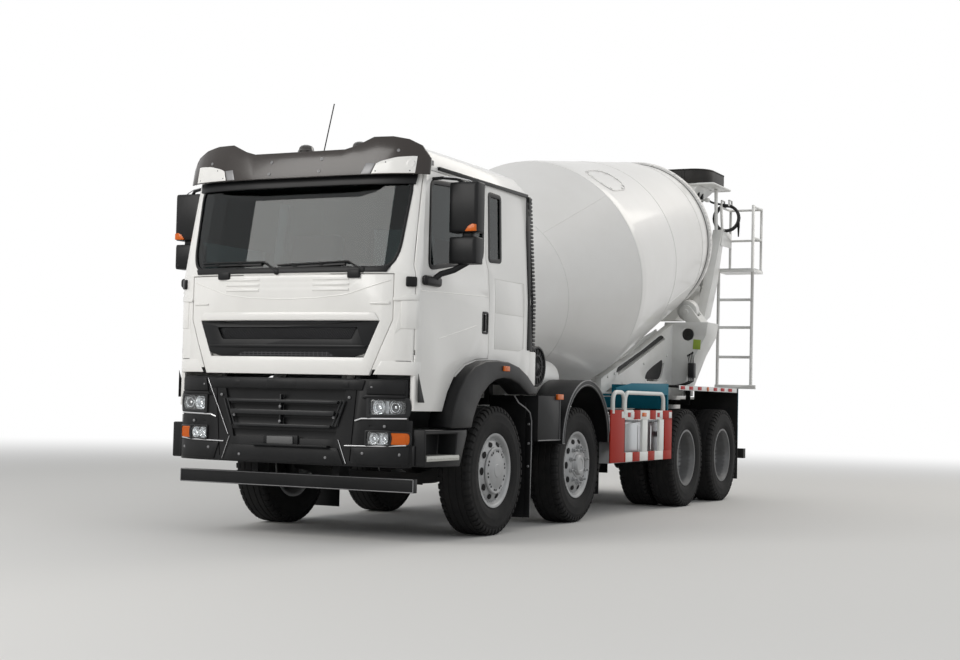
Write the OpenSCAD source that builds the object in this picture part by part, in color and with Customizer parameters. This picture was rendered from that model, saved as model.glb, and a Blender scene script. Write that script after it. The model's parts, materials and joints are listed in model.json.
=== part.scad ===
// Concrete mixer truck: four-axle cab-over chassis with a tilted drum.
// Lengths in mm, Z up, the nose faces -Y and +X is the truck's left side.
// Inside the modules Y is counted from the front axle; place() moves it all to the row frame.

/* [Chassis] */
// front axle's place along Y, so that the truck is centred on the origin
front_axle_y = -3357; // [-3600:1:-3100]
// distance from the first axle to the second
wheelbase_1 = 1800; // [1700:50:1950]
// distance from the second axle to the third
wheelbase_2 = 3000; // [2800:50:3200]
// distance from the third axle to the fourth
wheelbase_3 = 1350; // [1300:10:1450]
// width over the two frame rails
rail_span = 860; // [800:10:900]
// top of the frame rails
rail_top = 1060; // [1000:10:1100]
// height of a frame rail
rail_h = 300; // [260:10:320]

/* [Wheels] */
// tyre outside diameter
tyre_d = 1085; // [1020:5:1120]
// tyre section width
tyre_w = 300; // [280:5:315]
// outer face of the steered tyres
steer_face_x = 1142; // [1100:1:1180]
// outer face of the outer driven tyres
drive_face_x = 1224; // [1180:1:1240]
// spacing of twin tyres
twin_pitch = 338; // [330:1:350]

/* [Cab] */
// half width of the cab below the belt
cab_half = 1120; // [1080:5:1150]
// rear wall of the cab
cab_rear = 660; // [600:10:720]
// bottom edge of the cab's front panel
cab_low = 1345; // [1300:5:1400]
// height of the belt under the windscreen
belt_z = 2090; // [2050:5:2150]
// wall thickness of the cab and the doors
cab_wall = 55; // [40:5:70]
// gap around the doors and the front flap
shut_gap = 7; // [6:1:10]

/* [Drum] */
// drum axis tilt
drum_tilt = 13.1; // [11:0.1:15]
// a point on the drum axis: distance behind the front axle
drum_y = 2120; // [2000:10:2250]
// the same point's height
drum_z = 2192; // [2100:2:2300]
// largest drum radius
drum_r = 1235; // [1150:5:1250]
// radius of the track ring
ring_r = 965; // [900:5:1000]
// place of the track ring along the axis
ring_s = 4310; // [4200:10:4400]
// roller radius
roller_r = 125; // [110:5:140]
// angle of the rollers from the drum's lowest line
roller_angle = 35; // [30:1:40]

/* [Hidden] */
$fn = 48;
tyre_r = tyre_d / 2;
axle_y = [0, wheelbase_1, wheelbase_1 + wheelbase_2, wheelbase_1 + wheelbase_2 + wheelbase_3];
rail_x = rail_span / 2;
sub_top = rail_top + 180;
ramp = 12.6;
visor_out = 75;
king_x = 880;
steer_mid = steer_face_x - tyre_w / 2;
twin_out = drive_face_x - tyre_w / 2;
twin_in = twin_out - twin_pitch;
deck_z = 1345;
guard_x = 1235;
guard_front = axle_y[1] + 570;
guard_rear = axle_y[2] - 600;
chute_y = 7450;
chute_rest = 60;
chute_z = 1800;
chute_slope = 20;
fit = 0.3;
tilt_y = -1250;
tilt_z = 1050;
floor_z = cab_low + 110;
hinge_x = cab_half - 40;
hinge_y = -1374;
hinge_z = [1480, 1900];
flap_pin = [-1545, 2075 + shut_gap / 2];
king_r = 36;
spindle_r = 45;
hub_bore = 58;
twin_mid = (twin_out + twin_in) / 2;
hose_r = 14;
coil_x = 765;
coil_z = 3382;
coil_r = 185;
hose_exit = [600, 7370, 3770];
hose_bend = 165;
hose_y = 7584;
hose_top = coil_z + 2 * coil_r - hose_r;
// the wash hose from its cock on the hopper, bending round to the top of its coil
hose_route = concat([hose_exit], [for (a = [0:4.5:54])
  [hose_exit[0] + hose_bend * (1 - cos(a)), hose_y + hose_bend * (sin(a) - 1), hose_exit[2] + (hose_top - hose_exit[2]) * a / 90]]);
roller_off = ring_r + fit + roller_r;

module place() { translate([0, front_axle_y, 0]) children(); }
module both() { children(); mirror([1, 0, 0]) children(); }
// extrude a [y, z] outline from x0 to x1
module side_plate(x0, x1, pts) {
  translate([x0, 0, 0]) rotate([90, 0, 90]) linear_extrude(x1 - x0) polygon(pts);
}
// extrude an [x, z] outline from y0 to y1
module front_plate(y0, y1, pts) {
  translate([0, y1, 0]) rotate([90, 0, 0]) linear_extrude(y1 - y0) polygon(pts);
}
module box(lo, hi) { translate(lo) cube(hi - lo); }
module rod(p, q, r) {
  d = q - p;
  translate(p) rotate([0, acos(d[2] / norm(d)), atan2(d[1], d[0])]) cylinder(h = norm(d), r = r, $fn = 16);
}

// ---- chassis ----
// square bar between two points
module bar(a, b, w) { hull() for (p = [a, b]) translate(p) cube(w, center = true); }
module chassis_frame() {
  color("#2b2d30") place() {
    both() side_channel();
    cab_mounts();
    for (y = [-1130, 1500, 2700, 3900, 5475, 7080]) // [y] of each cross member
      box([-rail_x + 8, y - 50, rail_top - 190], [rail_x - 8, y + 50, rail_top - 60]);
  }
}
module side_channel() {
  flange = 80; web = 12;
  translate([rail_x, 7150, rail_top]) rotate([90, 0, 0]) linear_extrude(8330)
    polygon([[0, 0], [-flange, 0], [-flange, -web], [-web, -web], [-web, web - rail_h],
      [-flange, web - rail_h], [-flange, -rail_h], [0, -rail_h]]);
}
// front brackets with the cab's tilt pin, and the pads under its rear end
module cab_mounts() {
  both() {
    side_plate(370, rail_x, [[-1181, 862], [-1181, rail_top], [tilt_y + 45, tilt_z + 45], [tilt_y - 45, tilt_z + 45],
      [tilt_y - 45, tilt_z - 45]]);
    box([rail_x - 1, 560, 900], [540, 640, 970]);
    box([450, 560, 900], [540, 640, cab_low - fit]);
  }
  translate([0, tilt_y, tilt_z]) rotate([0, 90, 0]) cylinder(h = 2 * rail_x, r = 25, center = true);
}
module engine_block() {
  color("#3a3c3f") place() {
    box([-330, -640, 640], [330, 640, 1590]);                       // engine
    box([-230, 640, 640], [230, 1440, 980]);                        // gearbox
    box([-340, -1000, 780], [340, -930, 1330]);                     // radiator
    box([-60, -931, 900], [60, -639, 1000]);
    both() {
      box([329, -300, 880], [rail_x - 12, -200, 940]);
      box([229, 1300, 820], [rail_x - 12, 1380, 860]);
    }
  }
}
// forged beams, dropped between the springs, with an eye for each kingpin
module steer_axles() {
  eye = king_x - 40;
  color("#26282a") place() for (i = [0, 1]) translate([0, axle_y[i], tyre_r]) both() {
    front_plate(-40, 40, [[-1, -50], [330, -50], [480, -30], [620, 20], [eye, 45], [eye, -48],
      [700, -80], [540, -130], [330, -150], [-1, -150]]);
    translate([king_x, 0, -60]) difference() {
      cylinder(h = 120, r = 56);
      translate([0, 0, -1]) cylinder(h = 122, r = king_r + fit);
    }
    translate([rail_x - 40, 0, -50]) leaf_spring(1500, rail_top - rail_h - tyre_r + 50);
  }
}
// a bowed pack of leaves on an axle, hung from the rail by a shackle at each end
module leaf_spring(length, rise) {
  end = length / 2; eye_z = rise - 60; pack = 90;
  side_plate(-40, 40, [[-end, eye_z - 12], [-end * 0.55, eye_z * 0.5], [-110, 0], [110, 0],
    [end * 0.55, eye_z * 0.5], [end, eye_z - 12], [end, eye_z + 12], [end * 0.55, eye_z * 0.5 + pack * 0.5],
    [110, pack], [-110, pack], [-end * 0.55, eye_z * 0.5 + pack * 0.5], [-end, eye_z + 12]]);
  for (e = [-1, 1]) translate([0, e * end, 0]) {
    translate([0, 0, eye_z]) rotate([0, 90, 0]) cylinder(h = 84, r = 26, center = true);
    box([-38, -24, eye_z], [38, 24, rise]);
  }
}
module drive_axles() {
  mid = (axle_y[2] + axle_y[3]) / 2; hub_end = twin_mid + 100 - fit;
  color("#26282a") place() {
    for (i = [2, 3]) translate([0, axle_y[i], tyre_r]) {
      rotate([0, 90, 0]) cylinder(h = 2 * (twin_in - 190), r = 85, center = true);
      rotate([0, 90, 0]) cylinder(h = 240, r = 210, center = true);
      rotate([0, 90, 0]) cylinder(h = 2 * hub_end, r = hub_bore - fit, center = true);
      translate([0, -230, 0]) rotate([90, 0, 0]) cylinder(h = 150, r = 80, center = true);
      both() {
        box([360, -60, 0], [430, 60, 130]);
        translate([twin_in - 190, 0, 0]) rotate([0, 90, 0]) cylinder(h = 60, r = 180);   // brake
      }
    }
    both() {
      side_plate(355, 435, [[axle_y[2] - 90, 670], [axle_y[3] + 90, 670], [axle_y[3] + 90, 700],
        [mid + 150, 755], [mid - 150, 755], [axle_y[2] - 90, 700]]);
      box([365, mid - 90, 560], [435, mid + 90, rail_top - rail_h]);
    }
    translate([0, mid, 600]) rotate([0, 90, 0]) cylinder(h = 740, r = 45, center = true);
    rod([0, 1446, 800], [0, axle_y[2] - 300, tyre_r], 55);
    rod([0, axle_y[2] + 200, tyre_r], [0, axle_y[3] - 300, tyre_r], 50);
  }
}
// ---- nose and sides ----
// plan outline of the cab's nose and sides
function nose_half() = [[cab_half, -1330], [cab_half - 25, -1390], [cab_half - 85, -1440], [cab_half - 170, -1475],
  [cab_half - 270, -1503], [cab_half - 420, -1527], [cab_half - 720, -1548]];
function nose_plan(rear) = concat([[cab_half, rear]], nose_half(), [for (i = [6:-1:0]) [-nose_half()[i][0], nose_half()[i][1]]],
  [[-cab_half, rear]]);
module bumper() {
  top = 1270; shoulder = 960; low = 600; wall = 60; upper = cab_half - 78; bar_x = cab_half - 32;
  color("#1d1e20") place() {
    difference() {
      union() {
        translate([0, 0, shoulder]) linear_extrude(top - shoulder) intersection() {
          bumper_plan(0, 20);
          translate([-upper, -2000]) square([2 * upper, 700]);
        }
        translate([0, 0, low]) linear_extrude(shoulder - low) bumper_plan(0, 20);
      }
      translate([0, 0, low - 10]) linear_extrude(top - low - 20) bumper_plan(wall, 20);
      front_plate(-1700, -1440, [[-560, 1180], [560, 1180], [470, 800], [-470, 800]]);
      lamp_wells();
      // shut lines between its middle and its ends
      both() front_plate(-1700, -1502, [[652, 1265], [661, 1265], [609, 640], [600, 640]]);
      both() front_plate(-1700, -1490, [[760, 905], [1030, 910], [1030, 925], [760, 920]]);
    }
    // slats and the screen behind them
    for (z = [860, 960, 1060]) front_plate(-1515, -1470, [[-540, z], [540, z], [540, z + 45], [-540, z + 45]]);
    front_plate(-1496, -1480, [[-600, 1220], [600, 1220], [520, 770], [-520, 770]]);
    both() {
      box([350, -1485, 790], [420, -1180, 860]);
      box([350, -1340, 450], [410, -1180, 800]);
    }
    box([-bar_x, -1371, 409], [bar_x, -1311, 515]);
  }
}
module bumper_plan(inset, back) {
  difference() {
    offset(delta = -inset) polygon([for (p = nose_plan(-1000)) [p[0], p[1] + back]]);
    translate([-1500, -1385]) square([3000, 900]);
  }
}
module lamp_wells() {
  both() translate([cab_half - 368, 0, 0]) {
    front_plate(-1700, -1430, [[18, 1008], [248, 1015], [260, 1040], [248, 1100], [18, 1112]]);
    front_plate(-1700, -1400, [[0, 765], [298, 775], [306, 862], [0, 862]]);
  }
}
module front_lamps() {
  color("#d9dde0") place() both() {
    intersection() {
      translate([0, 0, 700]) linear_extrude(500) difference() { bumper_plan(8, 20); bumper_plan(59, 20); }
      lamp_wells();
    }
  }
}
module step_boxes() {
  color("#1b1d24") place() both() {
    difference() {
      side_plate(800, 1180, [[-1370, 610], [-770, 600], [-660, 840], [-660, 895], [-1370, 895]]);
      side_plate(1010, 1300, [[-1350, 690], [-850, 690], [-830, 860], [-1350, 860]]);
    }
    side_plate(rail_x, 800, [[-1300, 800], [-900, 800], [-900, 880], [-1300, 880]]);
  }
}
module fenders() {
  r_in = 576; r_out = 592; lip = 40; base_z = 750; x_in = 860; x_out = 1220;
  front = axle_y[1] - r_out; rear = axle_y[1] + r_out;
  color("#17181b") place() both() {
    // second axle's arched fender with its turned-in lip
    difference() {
      side_plate(x_in, x_out, arch(r_out, base_z));
      side_plate(x_in - 10, x_out - 10, arch(r_in, base_z - 1));
      side_plate(x_out - 20, x_out + 10, arch(r_in - lip, base_z - 1));
    }
    for (y = [front - 48, rear]) box([rail_x, y, 800], [x_in + 20, y + 48, 860]);
    // box between the steered wheels
    box([720, 705, 780], [1195, front + 4, 1180]);
    box([rail_x, 900, 800], [721, 960, 860]);
    // mudflaps
    box([790, 655, 110], [1095, 667, 1120]);
    box([790, 660, 1000], [800, 706, 1100]);
    box([840, rear - 4, 240], [1110, rear + 8, base_z + 60]);
  }
}
// [y, z] outline of a half round of radius r over the second axle
function arch(r, z) = [for (a = [0:10:180]) [axle_y[1] + r * cos(a), z + r * sin(a)]];
module side_tanks() {
  color("#b4b8bc") place() both() {
    translate([0, guard_front + 490, 0]) rotate([-90, 0, 0]) linear_extrude(guard_rear - guard_front - 600) rounded_tank();
    for (y = [guard_front + 680, guard_rear - 350]) box([rail_x, y, 800], [640, y + 60, 900]);
  }
}
module rounded_tank() {
  hull() for (x = [700, 1040], z = [-920, -600]) translate([x, z]) circle(r = 80, $fn = 32);
}
module side_guards() {
  rails = guard_front + 430;
  color("#a82c20") place() both() {
    // [y from, y to, z from, z to, inner face] of the guard's plates, rails and posts
    for (b = [[guard_front, rails + 30, 545, 1065, 1223], [rails, guard_rear, 975, 1065, 1195],
              [rails, guard_rear, 545, 640, 1195], [guard_rear - 910, guard_rear - 770, 600, 1000, 1205],
              [guard_rear - 80, guard_rear, 600, 1000, 1205]])
      box([b[4], b[0], b[2]], [guard_x, b[1], b[3]]);
    for (y = [rails + 12, guard_rear - 60]) box([rail_x, y, 780], [1206, y + 40, 840]);
    for (y = [rails + 12, guard_rear - 60]) box([1195, y, 620], [1206, y + 40, 1000]);
    hoop(guard_front + 60, guard_front + 370, 1229);
    hoop(rails, guard_rear - 240, 1215);
  }
}
// tube bent into a hoop, standing on the guard
module hoop(y0, y1, x) {
  r = 21; foot = 1040; top = 1240; bend = 90; half = (y1 - y0) / 2;
  translate([x, (y0 + y1) / 2, 0]) for (side = [0, 1]) mirror([0, side, 0]) {
    translate([0, half, foot]) cylinder(h = top - bend - foot, r = r);
    translate([0, half - bend, top - bend]) rotate([90, 0, 90]) rotate_extrude(angle = 90)
      translate([bend, 0]) circle(r = r);
    translate([0, 0, top]) rotate([-90, 0, 0]) cylinder(h = half - bend, r = r);
  }
}
module side_panels() {
  front = guard_front + 290; rear = guard_rear + 40;
  color("#0f6a7d") place() both() {
    side_plate(1160, 1175, [[front, 1230], [front, 1285], [front + 470, 1340], [rear, 1355], [rear, 705],
      [rear - 35, 705], [rear - 35, 1230]]);
    // return plate ahead of the driven wheels, and its brackets
    box([rail_x, rear - 15, 1080], [1161, rear, 1200]);
    box([520, rear - 15, 1199], [1161, rear, 1340]);
    box([rail_x, front + 240, 1205], [1161, front + 290, 1225]);
    box([1140, front + 240, 1224], [1161, front + 290, 1280]);
  }
}
// ---- mixer body ----
module subframe() {
  color("#dcdcd8") place() {
    both() box([rail_x - 80, 800, rail_top], [rail_x, 7120, sub_top]);
    for (y = [840, 1600, 2400, 4700, 6000, 7070]) box([-rail_x + 79, y - 40, rail_top], [rail_x - 79, y + 40, rail_top + 120]);
    // stand that carries the drum's gearbox
    both() side_plate(190, 300, [[860, sub_top - 1], [1560, sub_top - 1], [1180, 1640], [880, 1640]]);
    both() box([189, 860, sub_top - 60], [rail_x - 79, 1100, sub_top]);
    box([-300, 880, 1600], [300, 1170, 1640]);
  }
}
module drum_frame(s) {
  // moves to a station along the drum's axis, with +Z up the axis
  translate([0, drum_y, drum_z]) rotate([drum_tilt - 90, 0, 0]) translate([0, 0, s]) children();
}
module drum_gearbox() {
  color("#4a4d50") place() {
    difference() {
      union() {
        drum_frame(-1240) cylinder(h = 290, r = 230);
        drum_frame(-960) cylinder(h = 55 - fit, r = 170);
        box([-260, 900, 1640], [260, 1150, 1900]);
      }
      box([-400, 700, 1500], [400, 1400, 1640]);
    }
  }
}
// [place along the axis, outside radius] of the drum's shell
function drum_line() = [[-880, 600], [0, 868], [1075, drum_r], [1250, drum_r - 3], [3850, 1004],
  [ring_s - 60, ring_r - 20], [ring_s - 58, ring_r - 32], [ring_s + 62, ring_r - 32], [ring_s + 70, ring_r - 50],
  [4940, 600], [5000, 590]];
module drum() {
  wall = 14;
  line = drum_line(); n = len(line) - 1;
  color("#e4e2dd") place() drum_frame(0) {
    rotate_extrude($fn = 96) polygon(concat(
      [[0, -880]], [for (p = line) [p[1], p[0]]],
      [for (i = [n:-1:1]) [line[i][1] - wall, line[i][0] + (i == n ? 0 : i < 3 ? wall : 0)]],
      [[600 - wall, -880 + 2 * wall], [0, -880 + 2 * wall]]));
    translate([0, 0, ring_s - 50]) difference() {
      cylinder(h = 100, r = ring_r, $fn = 96);
      translate([0, 0, -1]) cylinder(h = 102, r = ring_r - 33, $fn = 96);
    }
    translate([0, 0, -905]) cylinder(h = 26, r = 200);
    // manhole cover, a patch that follows the shell
    intersection() {
      rotate_extrude($fn = 96) polygon([[drum_r - 13, 1250], [drum_r + 5, 1250], [drum_r - 57, 1960], [drum_r - 75, 1960]]);
      rotate([0, 0, 54]) translate([0, 0, 1600]) rotate([0, 90, 0]) linear_extrude(2000)
        hull() for (z = [-150, 150]) translate([z, 0]) circle(r = 190);
    }
  }
}
module roller_place() {
  both() drum_frame(ring_s) rotate([0, 0, 90 - roller_angle]) translate([roller_off, 0, 0]) children();
}
module rear_pedestal() {
  chute_bracket();
  leg_top = 2140; leg_y0 = 6300; leg_y1 = 6730;
  outline = [[400, leg_top], [950, leg_top], [930, 1980], [800, 1740], [640, 1330], [640, sub_top], [330, sub_top], [330, 1700]];
  color("#e2e2de") place() {
    both() difference() {
      front_plate(leg_y0, leg_y1, outline);
      front_plate(leg_y0 + 12, leg_y1 - 12, [[412, leg_top - 12], [936, leg_top - 12], [917, 1985], [789, 1747], [628, 1335], [628, sub_top + 12], [345, sub_top + 12], [345, 1690]]);
      translate([700, leg_y0 - 5, 1990]) rotate([-90, 0, 0]) cylinder(h = 30, r = 75);
    }
    // tie between the legs
    front_plate(leg_y0 + 150, leg_y0 + 250, [[-340, 1500], [340, 1500], [340, 1290], [-340, 1290]]);
    // diagonal side braces under the drum
    both() difference() {
      side_plate(440, 500, [[3950, sub_top], [3950, 1400], [4600, 1590], [5170, 1750], [5910, 1990], [leg_y0, 2120], [leg_y0, sub_top]]);
      side_plate(430, 510, [[4470, 1440], [4490, 1530], [5170, 1710], [5760, 1905], [5950, 1950], [6050, 1920], [4860, 1555]]);
      side_plate(430, 510, [[5410, 1400], [5440, 1480], [5620, 1555], [6030, 1640], [5940, 1460], [5790, 1400]]);
      side_plate(430, 510, [[4050, 1240], [5350, 1239], [5350, 1300], [4250, 1300]]);
    }
    both() box([rail_x - 80, 3950, sub_top], [500, 6300, sub_top + 14]);
    // roller forks
    intersection() {
      roller_place() translate([0, 0, -100]) difference() {
        union() { translate([0, -80, 0]) cube([500, 160, 200]); cylinder(h = 200, r = 80); }
        translate([-roller_r - 10, -roller_r - 10, 35]) cube([2 * roller_r + 20, 2 * roller_r + 20, 130]);
      }
      both() box([300, 6000, leg_top - 1], [950, 7000, 3000]);
    }
    roller_place() { cylinder(h = 110, r = roller_r, center = true); cylinder(h = 260, r = 35, center = true); }
    // columns up to the hopper
    both() {
      side_plate(640, 760, [[6720, leg_top - 200], [6730, leg_top], [7000, leg_top + 110], [7280, 2700], [7470, 3200],
        [7530, 3400], [7430, 3400], [7320, 3200], [7060, 2700], [6720, leg_top + 40]]);
      rod([668, 7470, 3380], [668, 7440, 3923.5], 22);
    }
  }
}
module charge_hopper() {
  color("#e2e2de") place() {
    difference() {
      box([-790, 6930, 3925], [790, 7680, 3945]);
      box([-560, 6990, 3900], [560, 7600, 3960]);
    }
    difference() {
      hull() { box([-575, 6975, 3920], [575, 7615, 3925]); box([-250, 6830, 3420], [250, 7110, 3425]); }
      hull() { box([-560, 6990, 3920], [560, 7600, 3926]); box([-235, 6845, 3419], [235, 7095, 3425]); }
    }
    // water cock that the wash hose leaves from
    translate(hose_exit - [132, 80, 0]) rotate([0, 90, 0]) cylinder(h = 120, r = 13);
    box(hose_exit - [22, 102, 22], hose_exit + [22, -40, 22]);
    translate(hose_exit - [0, 50, 0]) rotate([-90, 0, 0]) cylinder(h = 50 - fit, r = 11);
    box(hose_exit + [-8, -90, 21], hose_exit + [8, 10, 29]);
  }
}
module hopper_guard() {
  color("#2c2e30") place() translate([0, 0, 3945]) linear_extrude(185) difference() {
    guard_plan(0); guard_plan(14);
    translate([-800, 7610]) square([1600, 300]);
  }
}
module guard_plan(inset) {
  offset(delta = -inset) hull() {
    for (e = [-1, 1]) { translate([e * 470, 7150]) circle(r = 250); translate([e * 620 - 100, 7500]) square([200, 200]); }
  }
}
module discharge_funnel() {
  color("#e2e2de") place() {
    difference() {
      union() {
        hull() { box([-610, 7020, 2570], [610, 7640, 2580]); box([-205, 7260, 2225], [205, 7640, 2235]); }
        box([-610, 7020, 2579], [610, 7640, 2640]);
        box([-610, 7190, 2600], [610, 7640, 3280]);
      }
      hull() { box([-598, 7032, 2570], [598, 7628, 2581]); box([-193, 7272, 2224], [193, 7628, 2235]); }
      box([-598, 7032, 2579], [598, 7628, 3300]);
    }
    both() box([609, 7240, 2600], [640, 7290, 2700]);
  }
}
module chute_pivot() { translate([0, chute_y, 0]) rotate([0, 0, chute_rest]) children(); }
module chute_bracket() {
  color("#e2e2de") place() {
    box([-110, 6729, 1300], [110, chute_y - 40, 1420]);
    translate([0, chute_y, 1240]) cylinder(h = 240, r = 70);
    box([-345, 6729, 1300], [345, 6760, 1500]);
  }
}
module chute_turret() {
  color("#c9c9c6") place() chute_pivot() {
    translate([0, 0, 1480 + fit]) cylinder(h = 150, r = 95);
    box([-110, -60, 1620], [110, 60, 1710]);
    // ears that hold the chute's pin
    both() difference() {
      side_plate(84, 110, [[-60, 1700], [-60, 1790], [-30, 1826], [30, 1826], [60, 1790], [60, 1700]]);
      translate([80, 0, chute_z]) rotate([0, 90, 0]) cylinder(h = 40, r = 22 + fit);
    }
    // prop and its roller, on which the chute rests
    side_plate(-20, 20, [[40, 1640], [40, 1560], [470, 1545], [520, 1570], [510, 1620], [470, 1620], [440, 1600]]);
    chute_line() translate([0, 524, 22 - 20 - fit]) rotate([0, 90, 0]) cylinder(h = 80, r = 20, center = true);
  }
}
module chute_line() { translate([0, 0, chute_z]) rotate([-chute_slope, 0, 0]) children(); }
module chute() {
  wall = 8; r = 228; length = 1440;
  color("#e2e2de") place() chute_pivot() {
    chute_line() {
      translate([0, -190, 250]) rotate([-90, 0, 0]) linear_extrude(length) difference() {
        circle(r = r); circle(r = r - wall);
        translate([-2 * r, -2 * r]) square([4 * r, 2 * r]);
      }
      box([-80, -40, -22], [80, 40, 28]);
      for (y = [-190, length - 230]) translate([0, y, 250]) rotate([-90, 0, 0]) linear_extrude(40) difference() {
        circle(r = r + 12); circle(r = r - 1);
        translate([-2 * r, -2 * r]) square([4 * r, 2 * r]);
      }
    }
    translate([0, 0, chute_z]) rotate([0, 90, 0]) cylinder(h = 236, r = 22, center = true);
  }
}
module ladder() {
  in = 720; out = 1165; y = 7450; plat = 2850; depth = 380; top = 3690; post = 751;
  color("#e8e8e4") place() {
    rod([in, y, 1370], [in, y, plat + 10], 20);
    rod([out, y, 1370], [out, y, top + 18], 20);
    for (z = [1754, 2134, 2490]) box([in, y - 15, z - 15], [out, y + 15, z + 15]);
    // foot bar and its carrier from the frame
    box([in - 25, y - 25, 1350], [out + 60, y + 25, 1400]);
    box([rail_x, 7060, 1170], [780, 7110, 1230]);
    box([720, 7060, 1170], [780, y + 25, 1230]);
    box([720, y - 25, 1170], [780, y + 25, 1351]);
    // platform with its railing
    box([in - 20, y - 25, plat], [out + 25, y + depth + 20, plat + 40]);
    for (x = [post, out]) rod([x, y + depth, plat + 20], [x, y + depth, top + 18], 17);
    for (z = [3290, top]) {
      rod([post, y + depth, z], [out, y + depth, z], 15);
      rod([out, y, z], [out, y + depth, z], 15);
    }
    // gusset against the column, and the slanted post on top of it
    side_plate(760, 770, [[7360, 3190], [y + depth - 10, 3190], [y + depth - 10, coil_z], [7440, coil_z]]);
    box([705, y + 40, 3400], [770, y + 75, 3408]);
    rod([738, y + 57, 3404], [738, y - 3, top + 18], 17);
    rod([738, y, top], [post, y + depth, top], 14);
    rod([715, 6730.3, 2120], [in, y, 2134], 10);
  }
}
module rear_deck() {
  in = 660; out = 1222; front = axle_y[2] - 420; rear = axle_y[3] + tyre_r + 12;
  color("#c9cccf") place() {
    both() {
      box([in, front, deck_z - 12], [out, rear + 10, deck_z]);
      box([out - 15, front + 130, deck_z - 55], [out, rear, deck_z]);
      for (y = [front + 220, rear - 324.5]) {
        box([rail_x, y, 1130], [in + 40, y + 60, 1190]);
        box([in, y, 1130], [in + 40, y + 60, deck_z - 12]);
      }
      // closing plate and mudflap behind the last wheels
      box([480, rear, 720], [out, rear + 12, 1200]);
      box([in, rear, 1199], [out, rear + 12, deck_z - 6]);
      box([480, rear + 12, 240], [out, rear + 20, 900]);
      box([rail_x, rear - 90, 900], [481, rear + 12, 1000]);
      // tail lamp on its arm
      box([980, rear + 103, 960], [1160, rear + 193, 1080]);
      box([1050, rear + 11, 1000], [1090, rear + 104, 1040]);
    }
    // underrun bar
    box([-1180, 7110, 480], [1180, 7210, 600]);
    both() box([370, 7060, 520], [430, 7112, rail_top - rail_h]);
  }
}
module water_tank() {
  r = 165; x = 690; z = 1360; y0 = 960; y1 = 1950;
  color("#dfe0de") place() {
    translate([x, y0, z]) rotate([-90, 0, 0]) cylinder(h = y1 - y0, r = r);
    difference() {
      for (y = [y0 + 60, y1 - 120]) box([rail_x, y, 1150], [715, y + 60, 1280]);
      translate([x, y0 - 1, z]) rotate([-90, 0, 0]) cylinder(h = y1 - y0 + 2, r = r - 1);
    }
  }
}
module air_intake() {
  y = 810; z = 1440; r = 125; rise = 45;
  color("#1a1b1e") place() {
    for (e = [-1, 1]) translate([620, y, z + e * rise]) rotate([0, 90, 0]) cylinder(h = 380, r = r);
    box([620, y - r, z - rise], [1000, y + r, z + rise]);
    box([rail_x, y - 40, 1090], [680, y + 40, 1150]);
    box([630, y - 40, 1090], [680, y + 40, z - r]);
  }
}
module wash_hose() {
  color("#16171a") place() hose_tube(hose_route, hose_r, 8);
}
// tube swept along a route: one ring of points across the route at each of its points
module hose_tube(route, r, sides) {
  n = len(route) - 1;
  ring = [for (i = [0:n]) let (
      d = route[min(i + 1, n)] - route[max(i - 1, 0)], t = d / norm(d),
      u = cross(t, [0, 0, 1]) / norm(cross(t, [0, 0, 1])), v = cross(u, t))
    for (k = [0:sides - 1]) route[i] + r * cos(360 * k / sides) * u + r * sin(360 * k / sides) * v];
  polyhedron(ring, concat([[for (k = [sides - 1:-1:0]) k]], [[for (k = [0:sides - 1]) n * sides + k]],
    [for (i = [0:n - 1], k = [0:sides - 1]) [i * sides + (k + 1) % sides, (i + 1) * sides + (k + 1) % sides,
      (i + 1) * sides + k, i * sides + k]]));
}
module hose_coil() {
  color("#16171a") place() translate([coil_x, 7640, coil_z + coil_r + fit]) rotate([90, 0, 0])
    rotate_extrude() translate([coil_r - 45, 0]) square([45, 70]);
  // the hose's free end with its nozzle
  color("#16171a") place() translate([coil_x + coil_r - 18, hose_y + 2, coil_z + coil_r]) {
    translate([0, 0, -90]) cylinder(h = 100, r = hose_r);
    translate([0, 0, -150]) cylinder(h = 62, r = 17);
    translate([0, 0, -260]) cylinder(h = 112, r1 = 8, r2 = 15);
  }
}
// ---- cab ----
// side outline [y, z]: nose, sill, wheel arch, rear wall and roof
function arch_out() = [[-1010, 905], [-960, 1060], [-880, 1200], [-760, 1320], [-600, 1405], [-400, 1452],
  [-184, 1464], [50, 1455], [250, 1420], [430, 1350], [560, 1275], [640, 1225]];
function arch_in() = [[-640, 905], [-610, 985], [-545, 1085], [-450, 1180], [-330, 1255], [-200, 1300], [-60, 1318],
  [100, 1312], [260, 1275], [400, 1215], [470, 1185]];
function roof_line() = [[cab_rear, 2880], [620, 2990], [480, 3080], [200, 3150], [-200, 3188], [-600, 3180],
  [-1000, 3130], [-1200, 3050], [-1290, 2930], [-1400, 2700]];
module cab_side() {
  polygon(concat([[-1700, cab_low], [-1405, cab_low], [-1405, 1035], [-968, 1035]],
    [for (i = [1:11]) arch_out()[i]], [[cab_rear, 1225]], roof_line(), [[-1700, 2700]]));
}
module cab_front() {
  side = [[0, 1000], [0, 2000], [-60, 2950], [-120, 3070], [-270, 3140], [-620, 3185]];
  polygon(concat([for (p = side) [cab_half + p[0], p[1]]], [for (i = [5:-1:0]) [-cab_half - side[i][0], side[i][1]]]));
}
module nose_prism(inset, lean, rear) {
  // the nose plan, upright or leaning back with the windscreen
  translate([0, -1500, belt_z]) rotate([-lean, 0, 0]) translate([0, 1500, 0])
    translate([0, 0, -1300]) linear_extrude(2700) offset(delta = -inset) polygon(nose_plan(rear));
}
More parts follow.
